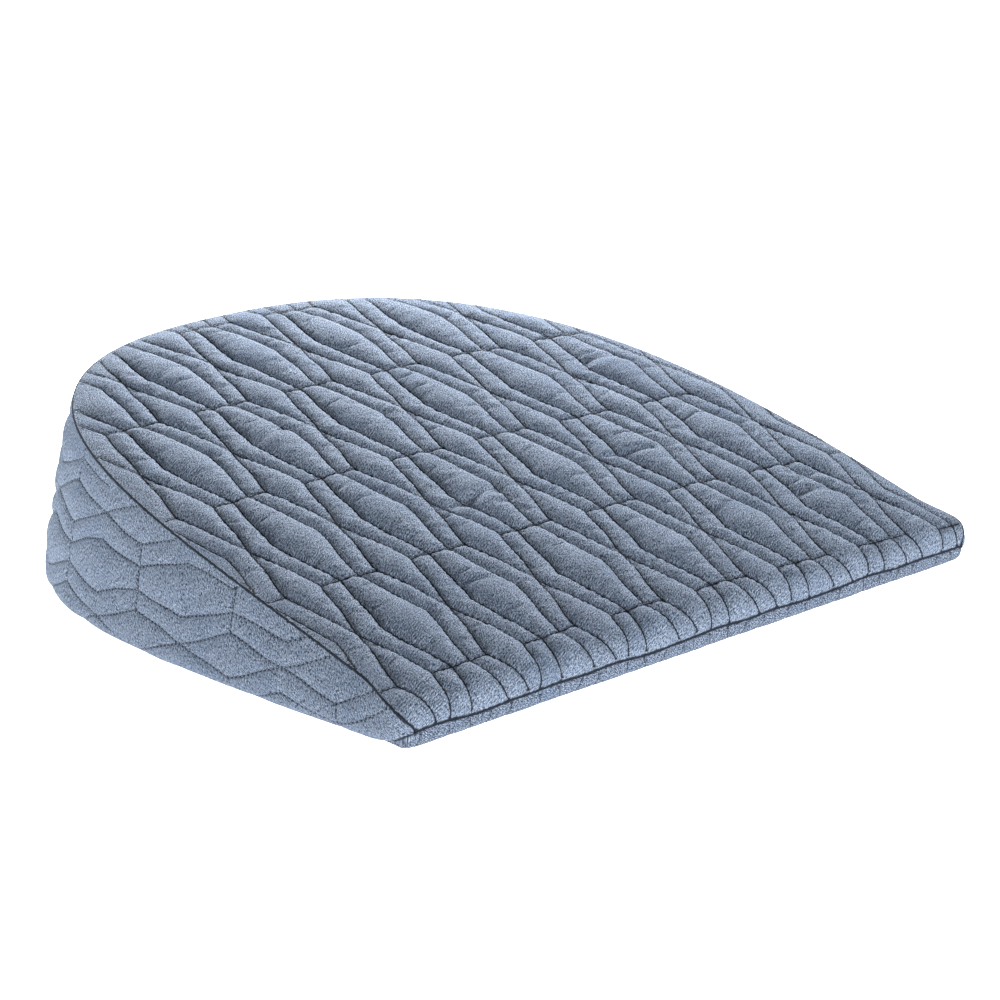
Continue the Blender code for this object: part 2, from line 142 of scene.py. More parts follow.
# The main creases in the cloth, in millimetres: both ends on the flat pattern, half width and depth,
# which is below 0 for a ridge
TOP_CREASES = (
    ((-91, 230), (-71, 237), 2.8, 2.1),
    ((-90, 312), (-72, 315), 2.5, 1.4),
    ((-5, 315), (10, 312), 2.3, 1.0),
    ((136, 227), (158, 222), 2.7, 1.8),
    ((66, 141), (92, 135), 2.8, 2.4),
    ((-48, 135), (-15, 140), 3.8, 2.8),
    ((-26, 127), (-12, 130), 2.4, 1.4),
    ((-104, 81), (-84, 74), 2.7, 1.6),
    ((144, 85), (162, 80), 2.4, 1.7),
    ((132, 68), (153, 63), 2.9, 2.0),
    ((20, 62), (36, 66), 2.7, 1.1),
    ((-20, 222), (-6, 226), 2.4, 1.1),
    ((-128, 152), (-114, 148), 2.4, 1.1),
    ((84, 300), (100, 304), 2.2, 0.9),
)
# The same on the band, where the first number is the distance from its end at the left front
BAND_CREASES = (
    ((140, 47), (152, 40), 3.0, 1.7),
    ((160, 50), (158, 38), 2.2, -0.9),
    ((286, 78), (285, 66), 2.6, 1.4),
    ((313, 56), (311, 44), 2.6, 1.3),
    ((45, 13), (36, 11), 2.4, 1.2),
    ((48, 21), (44, 17), 4.0, -1.2),
    ((22, 15), (6, 10), 2.6, 1.2),
    ((92, 26), (80, 22), 3.0, 0.8),
    ((212, 30), (204, 22), 3.0, 0.9),
)

# How the pads swell between the sewn lines, and how much of it is lost beside a seam
FULL_SWELL = 13e-6
SWELL_ROUNDNESS = 0.85
SMOOTHING_ROUNDS = 320
MOST_COTANGENT = 20.0
BAND_FLATNESS = 3.0
SEAM_CALM = 0.7
SEAM_CALM_REACH = 12 * MM

# The cloth simulation that lets the pads settle
SETTLE_FRAMES = 16
SETTLE_STEPS = 4
SETTLE_START = 0.2 * MM
SETTLE_PRESSURE = 5000.0
CLOTH_WEIGHT = 0.3
CLOTH_DAMPING = 5.0
AIR_DAMPING = 4.0
STRETCH_STIFFNESS = 15.0
SHEAR_STIFFNESS = 8.0
BENDING_STIFFNESS = 0.02

# Painted shade along a seam or sewn line: how wide the darkened strip of each groove is, wider at the front
# edge, and how it fades where the band narrows to a point
GROOVE_WIDTH = 0.62 * MM
FRONT_GROOVE_WIDTH = 1.1 * MM
NARROW_TIP = 9 * MM

# How the front seam waves up and down: each wave's millimetres per radian, its start and its share
SEAM_WAVE = 0.4 * MM
SEAM_WAVE_REACH = 6 * MM
SEAM_WAVES = ((17.0, 0.6, 1.0), (9.3, 2.0, 0.8), (5.9, 0.0, 0.5))

# One stitch: places along it, in shares of its length, and how high and thick the thread is there
STITCH_ARCH = ((-0.5, 0.0), (-0.25, 0.7), (0.0, 1.0), (0.25, 0.7), (0.5, 0.0))
STITCH_SIDES = 4
THREAD_RISE, THREAD_SINK = 0.7, 0.25
THREAD_END = 0.35

# The knit: size of its fibres along and across the grain, its grain on each piece, and its small colours, one
# of them the shade painted into the grooves
FIBRE_SIZE = (2.5 * MM, 0.9 * MM, 1.0 * MM)
PANEL_GRAIN = math.radians(38)
BAND_GRAIN = math.radians(-52)
KNIT_RELIEF = 0.7 * MM
WHITE_FLECK = (0.68, 0.78, 0.93, 1.0)
# Colour of the painted shade in the sewn lines and seams, where real shade falls in the grooves
PAINTED_GROOVE_SHADE = (0.012, 0.016, 0.024, 1.0)
SHEEN_TINT = (0.80, 0.88, 1.0, 1.0)

# The camera and the lamps. A lamp's place is where its light comes from
CAMERA_TURN = math.radians(-45.304)
CAMERA_RISE = math.radians(16.563)
CAMERA_RIGHT = -99.056 * MM
CAMERA_UP = 71.173 * MM
CAMERA_BACK = 1702.434 * MM
SENSOR = 36.0
BACK_LAMP_PLACE, BACK_LAMP_SIZE = (0.60, 0.70, 0.56), 0.16
SIDE_LAMP_PLACE, SIDE_LAMP_SOFTNESS = (-0.50, 0.82, 0.16), math.radians(16)
FRONT_LAMP_PLACE, FRONT_LAMP_SOFTNESS = (0.10, -1.00, 0.03), math.radians(30)
FLOOR_HALF = 12.0


class QuiltSettings(bpy.types.PropertyGroup):
    """Sizes of the quilting that do not change the wedge itself."""

    top_puff: bpy.props.FloatProperty(
        name="Top puff", description="How far the top's pads stand above their stitches in a quick run",
        default=3.0 * MM, min=0.0, unit="LENGTH")
    band_puff: bpy.props.FloatProperty(
        name="Band puff", description="How far the flat pads of the side band stand above their stitches",
        default=0.5 * MM, min=0.0, unit="LENGTH")
    base_puff: bpy.props.FloatProperty(
        name="Base puff", description="How deep the stitch lines lie in the base panel",
        default=0.8 * MM, min=0.0, unit="LENGTH")
    top_slack: bpy.props.FloatProperty(
        name="Top slack", description="Share of extra cloth that lets the pads of the top panel rise",
        default=0.036, min=0.0, max=0.2)
    band_slack: bpy.props.FloatProperty(
        name="Band slack", description="Share of extra cloth that lets the pads of the band rise",
        default=0.005, min=0.0, max=0.2)
    wobble: bpy.props.FloatProperty(
        name="Wobble", description="How far the sewn lines stray from a true repeat",
        default=0.9 * MM, min=0.0, unit="LENGTH")
    stitch_pitch: bpy.props.FloatProperty(
        name="Stitch pitch", description="Distance from one quilting stitch to the next",
        default=2.7 * MM, min=0.5 * MM, unit="LENGTH")
    stitch_length: bpy.props.FloatProperty(
        name="Stitch length", description="Length of thread that shows in one stitch",
        default=1.9 * MM, min=0.2 * MM, unit="LENGTH")
    thread_width: bpy.props.FloatProperty(
        name="Thread", description="Width of the quilting thread",
        default=0.5 * MM, min=0.1 * MM, unit="LENGTH")


class ColourSettings(bpy.types.PropertyGroup):
    """Colours of the cloth, the thread and the floor."""

    yarn_dark: bpy.props.FloatVectorProperty(
        name="Dark yarn", description="Darkest fibres of the knit",
        subtype="COLOR", size=3, min=0.0, max=1.0, default=(0.026, 0.037, 0.060))
    yarn_light: bpy.props.FloatVectorProperty(
        name="Light yarn", description="Palest fibres of the knit",
        subtype="COLOR", size=3, min=0.0, max=1.0, default=(0.345, 0.43, 0.575))
    blue_patch: bpy.props.FloatVectorProperty(
        name="Blue patches", description="Tint of the bluer patches in the knit",
        subtype="COLOR", size=3, min=0.0, max=1.0, default=(0.09, 0.14, 0.235))
    thread: bpy.props.FloatVectorProperty(
        name="Thread", description="Colour of the quilting thread",
        subtype="COLOR", size=3, min=0.0, max=1.0, default=(0.22, 0.26, 0.33))
    floor: bpy.props.FloatVectorProperty(
        name="Floor", description="Colour of the studio floor",
        subtype="COLOR", size=3, min=0.0, max=1.0, default=(0.92, 0.92, 0.92))


class StudioSettings(bpy.types.PropertyGroup):
    """Lens and lamps of the studio."""

    focal_length: bpy.props.FloatProperty(
        name="Focal length", description="Camera lens, in millimetres", default=129.46, min=1.0)
    back_lamp: bpy.props.FloatProperty(
        name="Back lamp", description="Power of the near light behind, at the right, in watts",
        default=30.0, min=0.0)
    side_lamp: bpy.props.FloatProperty(
        name="Side lamp", description="Strength of the low light from the left", default=1.7, min=0.0)
    front_lamp: bpy.props.FloatProperty(
        name="Front lamp", description="Strength of the low light on the front lip", default=4.8, min=0.0)
    sky: bpy.props.FloatProperty(
        name="Sky", description="Brightness of the even light all round", default=0.16, min=0.0)
    table: bpy.props.FloatProperty(
        name="Light table", description="Brightness of the lit table that the pillow lies on",
        default=1.5, min=0.0)


# Outline of the wedge

def quarter(share):
    """Height of a full quarter round, 0 to 1, at a share of its width."""
    share = np.clip(share, 0.0, 1.0)
    return (1.0 - (1.0 - share) ** LIP_FULLNESS) ** (1.0 / LIP_FULLNESS)


def smooth(share):
    """An even climb from 0 to 1 with soft ends."""
    share = np.clip(share, 0.0, 1.0)
    return share * share * (3.0 - 2.0 * share)


def top_height(y):
    """Height of the sloping top above the floor, before the front lip."""
    share = np.clip(y / TOP_SEAM_DEPTH, 0.0, 1.0)
    straight = FRONT_HEIGHT + (BACK_HEIGHT - FRONT_HEIGHT) * share
    return straight + SLOPE_BOW * 4.0 * share * (1.0 - share)


def d_curve(half_width, depth, straight, side_power):
    """Right half of a D outline from its straight side to the middle of the back."""
    share = 1.0 - np.linspace(1.0, 0.0, OUTLINE_POINTS) ** OUTLINE_CROWDING
    y = CORNER_RADIUS + (depth - CORNER_RADIUS) * share
    run = np.clip((y - straight) / (depth - straight), 0.0, 1.0)
    x = half_width * np.maximum(1.0 - run**BACK_POWER, 0.0) ** (1.0 / side_power)
    return np.column_stack([x, y])


def run_of(points):
    """Distance along a line of points, at each point."""
    return np.r_[0.0, np.cumsum(np.linalg.norm(np.diff(points, axis=0), axis=1))]


def spread(points, shares):
    """Points at given shares of the length of a line of points."""
    run = run_of(points)
    return np.column_stack([np.interp(shares * run[-1], run, column) for column in points.T])


def mirrored(right):
    """A right-hand half, front to back, made a whole ring that runs anticlockwise."""
    return np.vstack([right, right[-2:0:-1] * [-1.0, 1.0]])


def make_ring():
    """Plan outlines round the whole pillow, with matching points: widest line and top seam."""
    half = WIDTH / 2
    centre = np.array([half - CORNER_RADIUS, CORNER_RADIUS])
    front_count = round(centre[0] / RING_STEP)
    front = np.column_stack([np.linspace(0.0, centre[0], front_count + 1), np.zeros(front_count + 1)])
    turn = np.linspace(-math.pi / 2, 0.0, CORNER_STEPS + 1)[1:]
    corner = centre + CORNER_RADIUS * np.column_stack([np.cos(turn), np.sin(turn)])
    wide = d_curve(half, DEPTH, STRAIGHT_SIDE, SIDE_POWER)
    seam = d_curve(TOP_SEAM_HALF_WIDTH, TOP_SEAM_DEPTH, TOP_STRAIGHT_SIDE, TOP_SIDE_POWER)
    lean_in = smooth((seam[:, 1] - CORNER_RADIUS) / TOP_STRAIGHT_SIDE)
    seam[:, 0] += (half - TOP_SEAM_HALF_WIDTH) * (1.0 - lean_in)
    shares = np.linspace(0.0, 1.0, round(run_of(wide)[-1] / RING_STEP) + 1)[1:]
    shared = np.vstack([front, corner])
    outer = mirrored(np.vstack([shared, spread(wide, shares)]))
    inner = mirrored(np.vstack([shared, spread(seam, shares)]))
    return outer, inner, front_count


def outward(ring):
    """Plan direction out of the pillow at each point of a ring."""
    along = np.roll(ring, -1, axis=0) - np.roll(ring, 1, axis=0)
    across = np.column_stack([along[:, 1], -along[:, 0]])
    return across / np.linalg.norm(across, axis=1)[:, None]


def lip_height(y):
    """Height of the outer face over the front lip and up the slope."""
    return FRONT_SEAM_HEIGHT + (top_height(y) - FRONT_SEAM_HEIGHT) * quarter(y / TOP_LIP_RADIUS)


def slope_line():
    """The middle of the top panel from the front seam back: plan depth, height and cloth length."""
    lip = TOP_LIP_RADIUS * (1.0 - np.cos(np.linspace(0.0, math.pi / 2, LIP_POINTS)))
    y = np.r_[lip, np.linspace(TOP_LIP_RADIUS, TOP_SEAM_DEPTH, SLOPE_POINTS)[1:]]
    z = lip_height(y)
    return y, z, run_of(np.column_stack([y, z]))


def base_line():
    """The front of the base panel from the front seam down and back: plan depth and cloth length."""
    share = 1.0 - np.cos(np.linspace(0.0, math.pi / 2, LIP_POINTS))
    y = np.r_[BASE_LIP_RADIUS * share, DEPTH]
    z = np.r_[FRONT_SEAM_HEIGHT * (1.0 - quarter(share)), 0.0]
    return y, run_of(np.column_stack([y, z]))


def with_height(plan, height):
    """Points in plan, given one height or a height each."""
    return np.column_stack([plan, np.broadcast_to(height, len(plan))])


WIDEST, TOP_SEAM, FRONT_COUNT = make_ring()
RING = len(WIDEST)
# The band runs from just past the right tip, round the back, to just before the left tip
BAND_FIRST, BAND_LAST = FRONT_COUNT + TIP_STEPS, RING - FRONT_COUNT - TIP_STEPS
OUTWARD = outward(WIDEST)
SEAM_OUTWARD = outward(TOP_SEAM)
SLOPE_Y, SLOPE_Z, SLOPE_RUN = slope_line()
BASE_Y, BASE_RUN = base_line()
TOP_SEAM_Z = lip_height(TOP_SEAM[:, 1]) - EDGE_DROP * quarter(TOP_SEAM[:, 1] / TOP_LIP_RADIUS)
BASE_RISE = (1.0 - np.clip(WIDEST[:, 1] / BASE_SEAM_RISE_FROM, 0.0, 1.0)) ** 3
BASE_SEAM_Z = BASE_SEAM_HEIGHT + (FRONT_SEAM_HEIGHT - BASE_SEAM_HEIGHT) * BASE_RISE
BAND_HEIGHT = np.maximum(TOP_SEAM_Z - BASE_SEAM_Z, 0.0)
RADIUS_GROWTH = np.clip(WIDEST[:, 1] / BAND_RADIUS_FULL_AT, 0.0, 1.0)
LOWER_RADIUS = np.minimum(BAND_LOWER_RADIUS * RADIUS_GROWTH, MOST_RADIUS_OF_HEIGHT * BAND_HEIGHT)
# 1 where the band is between the panels, 0 where they meet at the front seam
BAND_SHARE = np.clip(BAND_HEIGHT / BAND_FULL_HEIGHT, 0.0, 1.0)
BASE_SHARE = np.minimum(BAND_SHARE, MOST_REACH_OF_RADIUS * LOWER_RADIUS / PANEL_THICKNESS)
TOP_INNER = with_height(TOP_SEAM - SEAM_OUTWARD * PANEL_THICKNESS, TOP_SEAM_Z - SEAM_DEPTH * BAND_SHARE)
BASE_OUTER = with_height(WIDEST - OUTWARD * LOWER_RADIUS[:, None], BASE_SEAM_Z)
# The band's flat pattern: its length from the middle of the front, and how tall it is there
BAND_PLACES = np.arange(BAND_FIRST, BAND_LAST + 1)
ALONG = run_of(WIDEST)
TALL = LOWER_RADIUS * (math.pi / 2 - 1.0) + BAND_HEIGHT


def developed(y):
    """Cloth length from the front seam, for plan depths that may lie past either end."""
    kept = np.clip(y, TOP_LIP_RADIUS + CLEAR_OF_SEAM, TOP_SEAM_DEPTH)
    return np.interp(kept, SLOPE_Y, SLOPE_RUN) + (y - kept) * SLOPE_STRETCH


def section(at, share, depth):
    """Points of the band's section at ring places `at`, from base seam 0 to top seam 1.

    A quarter round turns in under the pillow, and above it the band leans in to the top seam.
    depth 0 is the outer face and 1 the inner face."""
    places = np.arange(RING)

    def here(values):
        return np.column_stack([np.interp(at, places, column) for column in np.atleast_2d(values.T)])

    out = here(OUTWARD)
    wide = here(WIDEST)
    radius, height = here(LOWER_RADIUS)[:, 0], here(BAND_HEIGHT)[:, 0]
    base_z, band_share, base_share = (here(v)[:, 0] for v in (BASE_SEAM_Z, BAND_SHARE, BASE_SHARE))
    top = here(with_height(TOP_SEAM, TOP_SEAM_Z)) * (1.0 - depth) + here(TOP_INNER) * depth
    arc = radius * math.pi / 2
    round_share = arc / np.maximum(arc + height - radius, NO_LENGTH)
    low = np.clip(share / np.maximum(round_share, NO_LENGTH), 0.0, 1.0) * math.pi / 2
    high = np.clip((share - round_share) / (1.0 - round_share), 0.0, 1.0)
    thick = PANEL_THICKNESS * depth
    reach_in = PANEL_THICKNESS * (1.0 - base_share) * depth
    reach_up = PANEL_THICKNESS * base_share * depth
    low_r = -thick - (radius + reach_in - thick) * (1.0 - np.sin(low))
    low_z = base_z + reach_up + (radius - reach_up) * (1.0 - np.cos(low))
    lower = np.column_stack([wide + out * low_r[:, None], low_z])
    start = np.column_stack([wide - out * thick, base_z + radius])
    upper = start * (1.0 - high[:, None]) + top * high[:, None]
    swell = BAND_BULGE * band_share * np.sin(math.pi * high)
    upper[:, :2] += out * swell[:, None]
    return np.where((high > 0.0)[:, None], upper, lower)


# Quilting on a flat pattern

def straight(start, end):
    """Evenly spaced points from one place of the repeat to another, given in columns and rows."""
    start, end = np.array(start) * REPEAT, np.array(end) * REPEAT
    count = math.ceil(np.linalg.norm(end - start) / LINE_STEP)
    return start + (end - start) * np.linspace(0.0, 1.0, count + 1)[:, None]


def stitch_paths(columns, rows):
    """Every sewn line of the repeat, as a list of points."""
    paths = []
    for i, j in itertools.product(columns, rows):
        paths.append(straight((i - FLAT_EDGE, j), (i + FLAT_EDGE, j)))
        for side, way in itertools.product((-1, 1), (-0.5, 0.5)):
            paths += [straight((i + side * near, j), (i + side * far, j + way)) for near, far in STITCH_LINES]
    return paths


def to_segment(points, start, end):
    """Distance from each point to one straight piece."""
    start, along = np.array(start), np.array(end) - np.array(start)
    share = np.clip((points - start) @ along / (along @ along), 0.0, 1.0)
    return np.linalg.norm(points - start - share[:, None] * along, axis=1)


def from_stitch(points):
    """Distance from each point of the plain repeat to the nearest sewn line."""
    folded = np.abs((points / REPEAT + 0.5) % 1.0 - 0.5) * REPEAT
    found = to_segment(folded, (0.0, 0.0), (FLAT_EDGE * COLUMN, 0.0))
    for near, far in STITCH_LINES:
        found = np.minimum(found, to_segment(folded, (near * COLUMN, 0.0), (far * COLUMN, ROW / 2)))
    return found


def beside(paths):
    """Points along both sides of every sewn line, that give its groove even flanks."""
    found = []
    for path in paths:
        along = path[-1] - path[0]
        across = np.array([-along[1], along[0]]) / np.linalg.norm(along)
        for offset, side in itertools.product(FLANKS, (-1, 1)):
            points = path + across * offset * side
            found.append(points[from_stitch(points) > 0.9 * offset])
    return np.vstack(found)


def evenly(columns, rows):
    """Points spread over the pads, a little unevenly."""
    shuffle = np.random.default_rng(SEED)
    low = np.array([columns[0] - 0.5, rows[0] - 0.5]) * REPEAT
    high = np.array([columns[-1] + 0.5, rows[-1] + 0.5]) * REPEAT
    x = np.arange(low[0], high[0], EVEN_STEP)
    y = np.arange(low[1], high[1], EVEN_STEP * math.sqrt(0.75))
    grid = np.stack(np.meshgrid(x, y), axis=-1)
    grid[1::2, :, 0] += EVEN_STEP / 2
    points = grid.reshape(-1, 2)
    points += shuffle.uniform(-UNEVEN, UNEVEN, points.shape) * EVEN_STEP
    return points[from_stitch(points) > FLANKS[-1] + 0.6 * EVEN_STEP]


def from_seam(points, outline):
    """Distance from the outline, above 0 inside, and the number of the nearest outline point."""
    tree = kdtree.KDTree(len(outline))
    for k, (x, y) in enumerate(outline):
        tree.insert((x, y, 0.0), k)
    tree.balance()
    nearest = np.array([tree.find((x, y, 0.0))[1] for x, y in points])
    best = np.full(len(points), np.inf)
    signed = np.zeros(len(points))
    for before in (-1, 0):
        start = outline[(nearest + before) % len(outline)]
        along = outline[(nearest + before + 1) % len(outline)] - start
        reach = points - start
        length_squared = np.maximum((along**2).sum(axis=1), NO_LENGTH**2)
        share = np.clip((reach * along).sum(axis=1) / length_squared, 0.0, 1.0)
        gap = np.linalg.norm(reach - share[:, None] * along, axis=1)
        side = np.sign(along[:, 0] * reach[:, 1] - along[:, 1] * reach[:, 0])
        closer = gap < best
        best = np.where(closer, gap, best)
        signed = np.where(closer, gap * side, signed)
    return signed, nearest


def swelling(flat, faces, held):
    """Height of a stretched skin under even pressure, held down at some points.

    The skin is solved by repeated averaging over the triangles' cotangent weights."""
    first, second, weight = [], [], []
    for k in range(3):
        a, b, c = faces[:, k], faces[:, (k + 1) % 3], faces[:, (k + 2) % 3]
        u, v = flat[a] - flat[c], flat[b] - flat[c]
        twice_area = np.maximum(np.abs(u[:, 0] * v[:, 1] - u[:, 1] * v[:, 0]), NO_LENGTH**1.5)
        cotangent = np.clip((u * v).sum(axis=1) / twice_area / 2, 0.0, MOST_COTANGENT)
        first += [a, b]
        second += [b, a]
        weight += [cotangent, cotangent]
    first, second, weight = np.concatenate(first), np.concatenate(second), np.concatenate(weight)
    load = np.bincount(faces.ravel(), np.repeat(twice_area / 6, 3), len(flat))
    total = np.maximum(np.bincount(first, weight, len(flat)), NO_LENGTH)
    height = np.zeros(len(flat))
    for _ in range(SMOOTHING_ROUNDS):
        height = (np.bincount(first, weight * height[second], len(flat)) + load) / total
        height[held] = 0.0
    return height


def fill_outline(outline, others, edges):
    """Fill an outline with triangles through other points, whose sides follow the given edges.

    Gives their points, their faces, the given points that each point stands for, and the number of each
    outline point."""
    given = [Vector(p) for p in np.vstack([outline, *others])]
    made = delaunay_2d_cdt(given, edges, [list(range(len(outline)))], 1, NO_LENGTH)
    rim = np.zeros(len(outline), int)
    for k, sources in enumerate(made[3]):
        for source in sources:
            if source < len(outline):
                rim[source] = k
    return np.array([tuple(p) for p in made[0]]), made[2], made[3], rim


def seam_row(boundary, offset):
    """Points inside an outline, at one distance from it."""
    along = np.roll(boundary, -1, axis=0) - np.roll(boundary, 1, axis=0)
    across = np.column_stack([-along[:, 1], along[:, 0]])
    row = boundary + across / np.linalg.norm(across, axis=1)[:, None] * offset
    return row[from_seam(row, boundary)[0] > 0.9 * offset]


def quilt(boundary, place, columns, rows, seam_rows=SEAM_ROWS):
    """Divide a flat pattern into small triangles whose edges follow the sewn lines.

    Gives its points and faces, their swell 0 to 1, how much of it the seam leaves, which points are held
    down, the number of each outline point, and the sewn paths that lie on the pattern."""
    paths = stitch_paths(columns, rows)
    edges = []
    sewn = []
    held_count = len(boundary)
    for path in paths:
        flat = place(path)
        gap = from_seam(flat, boundary)[0]
        inside = gap > CLEAR_OF_SEAM
        if gap.max() < LEAST_REACH:
            continue
        sewn.append(flat[inside])
        numbers = held_count + np.cumsum(inside) - 1
        joined = inside[:-1] & inside[1:]
        edges += list(zip(numbers[:-1][joined].tolist(), numbers[1:][joined].tolist()))
        held_count += int(inside.sum())
    free = place(np.vstack([beside(paths), evenly(columns, rows)]))
    free = free[from_seam(free, boundary)[0] > FLANKS[-1] + 0.5 * EVEN_STEP]
    others = [*sewn, *(seam_row(boundary, offset) for offset in seam_rows), free]
    flat, faces, stands_for, rim = fill_outline(boundary, others, edges)
    faces = np.array(faces)
    held = np.array([any(source < held_count for source in sources) for sources in stands_for])
    swell = swelling(flat, faces, held)
    swell = 1.0 - np.exp(-((swell / FULL_SWELL) ** SWELL_ROUNDNESS))
    from_edge = np.abs(from_seam(flat, boundary)[0])
    calm = 1.0 - SEAM_CALM * np.exp(-((from_edge / SEAM_CALM_REACH) ** 2))
    return {
        "flat": flat, "faces": faces, "swell": swell * calm, "calm": calm,
        "held": held, "rim": rim, "sewn": sewn}


def flat_area(pattern):
    """Area of a flat pattern in square metres."""
    corners = pattern["flat"][pattern["faces"]]
    u, v = corners[:, 1] - corners[:, 0], corners[:, 2] - corners[:, 0]
    return float(np.abs(u[:, 0] * v[:, 1] - u[:, 1] * v[:, 0]).sum() / 2)


def grooves(points, pattern):
    """How deep each point lies in a sewn line or in the seam round the piece, 0 to 1: where and how strongly
    shade is painted into the cloth's colour.
    """
    tree = kdtree.KDTree(len(pattern["rim"]))
    for place in points[pattern["rim"]]:
        tree.insert(place, 0)
    tree.balance()
    gap = np.array([tree.find(place)[2] for place in points])
    width = np.interp(points[:, 1], (0.0, TOP_LIP_RADIUS), (FRONT_GROOVE_WIDTH, GROOVE_WIDTH))
    return np.maximum(pattern["held"], np.exp(-((gap / width) ** 2)))


def wobble(points, phase):
    """Slow waves, a few centimetres long, that let the sewn lines stray a little, as hand-fed cloth does."""
    size = bpy.context.scene.pillow_quilt.wobble
    x, y = points[:, 0] / MM, points[:, 1] / MM
    sideways = np.sin(x / 9.1 + y / 6.3 + phase) + 0.7 * np.sin(x / 5.3 - y / 11.9 + 2.1 * phase)
    lengthwise = np.sin(x / 7.7 - y / 8.9 + 3.3 * phase) + 0.7 * np.sin(x / 12.7 + y / 5.1 + 0.7 * phase)
    return points + np.column_stack([sideways, lengthwise]) * size / 2


def stray(points):
    """Points moved to pillow coordinates, with the front seam a little wavy, as a sewn one is."""
    x, y, z = points.T
    wave = sum(share * np.sin(x / MM / length + start) for length, start, share in SEAM_WAVES)
    away = (y / SEAM_WAVE_REACH) ** 2 + ((z - FRONT_SEAM_HEIGHT) / SEAM_WAVE_REACH) ** 2
    lift = SEAM_WAVE * wave * np.exp(-away)
    return points + np.column_stack([np.zeros(len(x)), np.full(len(x), -ORIGIN_BEHIND_FRONT), lift])


def top_place(points):
    """Points of the plain repeat, laid on the top panel's flat pattern."""
    u, v = points[:, 0] + TOP_FIRST_COLUMN, points[:, 1] + TOP_FIRST_ROW
    turn = TOP_GRAIN_TURN
    x = u * math.cos(turn) - v * math.sin(turn)
    y = u * math.sin(turn) + v * math.cos(turn)
    y = y + TOP_ROW_BOW * (1.0 - (x / (WIDTH / 2)) ** 2)
    y = y - TOP_ROW_DRIFT * np.sin(math.pi * np.clip(y / TOP_SEAM_DEPTH, 0.0, 1.0))
    return wobble(np.column_stack([x, developed(y)]), 0.4)


def band_place(points):
    """Points of the plain repeat, turned a quarter and laid on the band's flat pattern."""
    up, along = points[:, 0] * BAND_SCALE, points[:, 1] * BAND_SCALE
    turn = BAND_GRAIN_TURN
    from_left_front = BAND_FIRST_ROW - along * math.cos(turn) + up * math.sin(turn)
    height = BAND_FIRST_COLUMN + along * math.sin(turn) + up * math.cos(turn)
    return wobble(np.column_stack([ALONG[BAND_LAST] - from_left_front, height]), 1.9)


def base_place(points):
    """Points of the plain repeat, laid on the base panel's flat pattern."""
    return wobble(points + [BASE_FIRST_COLUMN, BASE_FIRST_ROW], 3.1)


# Meshes

def add_strips(faces, rows, closed):
    """Pairs of triangles between neighbouring rows of point numbers with the same count."""
    for lower, upper in zip(rows, rows[1:]):
        count = len(lower)
        for k in range(count if closed else count - 1):
            following = (k + 1) % count
            faces.append((lower[k], lower[following], upper[following]))
            faces.append((lower[k], upper[following], upper[k]))


def closed_mesh(name, points, faces):
    """Smooth mesh with its faces turned outwards. Raises an error where it is open."""
    data = bpy.data.meshes.new(name)
    data.from_pydata(points.tolist(), [], [list(map(int, face)) for face in faces])
    mesh = bmesh.new()
    mesh.from_mesh(data)
    bmesh.ops.recalc_face_normals(mesh, faces=mesh.faces)
    open_edges = sum(not edge.is_manifold for edge in mesh.edges)
    mesh.to_mesh(data)
    mesh.free()
    if open_edges:
        raise RuntimeError(f"{name} has {open_edges} open edges")
    data.shade_smooth()
    return data


def add_piece(name, data):
    """Put a mesh in the scene as a piece of the pillow."""
    piece = bpy.data.objects.new(name, data)
    bpy.context.scene.collection.objects.link(piece)
    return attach(piece, BODY)


def make_piece(name, points, faces, cloth, groove):
    """A closed piece of cloth, with its flat pattern and its grooves kept as attributes; the grooves set
    where shade is painted into its colour.
    """
    data = closed_mesh(name, stray(points), faces)
    data.attributes.new("cloth", "FLOAT_VECTOR", "POINT").data.foreach_set("vector", cloth.ravel())
    data.attributes.new("groove", "FLOAT", "POINT").data.foreach_set("value", groove)
    data.set_sharp_from_angle(angle=SHARP_ANGLE)
    return add_piece(name, data)


def hidden_top():
    """Points and triangles of the top panel's hidden face, with its edge at the seam's inner line."""
    rows = list(PANEL_THICKNESS + (TOP_LIP_RADIUS - PANEL_THICKNESS) * np.array(LIP_STEPS))
    rows += list(np.arange(TOP_LIP_RADIUS + INNER_STEP, TOP_SEAM_DEPTH, INNER_STEP))
    across = np.linspace(-WIDTH / 2, WIDTH / 2, round(WIDTH / INNER_STEP) + 1)
    free = np.array(list(itertools.product(across, rows)))
    boundary = TOP_INNER[:, :2]
    free = free[from_seam(free, boundary)[0] > CLEAR_OF_SEAM]
    plan, faces, _, rim = fill_outline(boundary, [free], [])
    lip = quarter((plan[:, 1] - PANEL_THICKNESS) / (TOP_LIP_RADIUS - PANEL_THICKNESS))
    height = FRONT_SEAM_HEIGHT + (top_height(plan[:, 1]) - PANEL_THICKNESS - FRONT_SEAM_HEIGHT) * lip
    points = with_height(plan, height)
    points[rim] = TOP_INNER
    return points, faces, rim


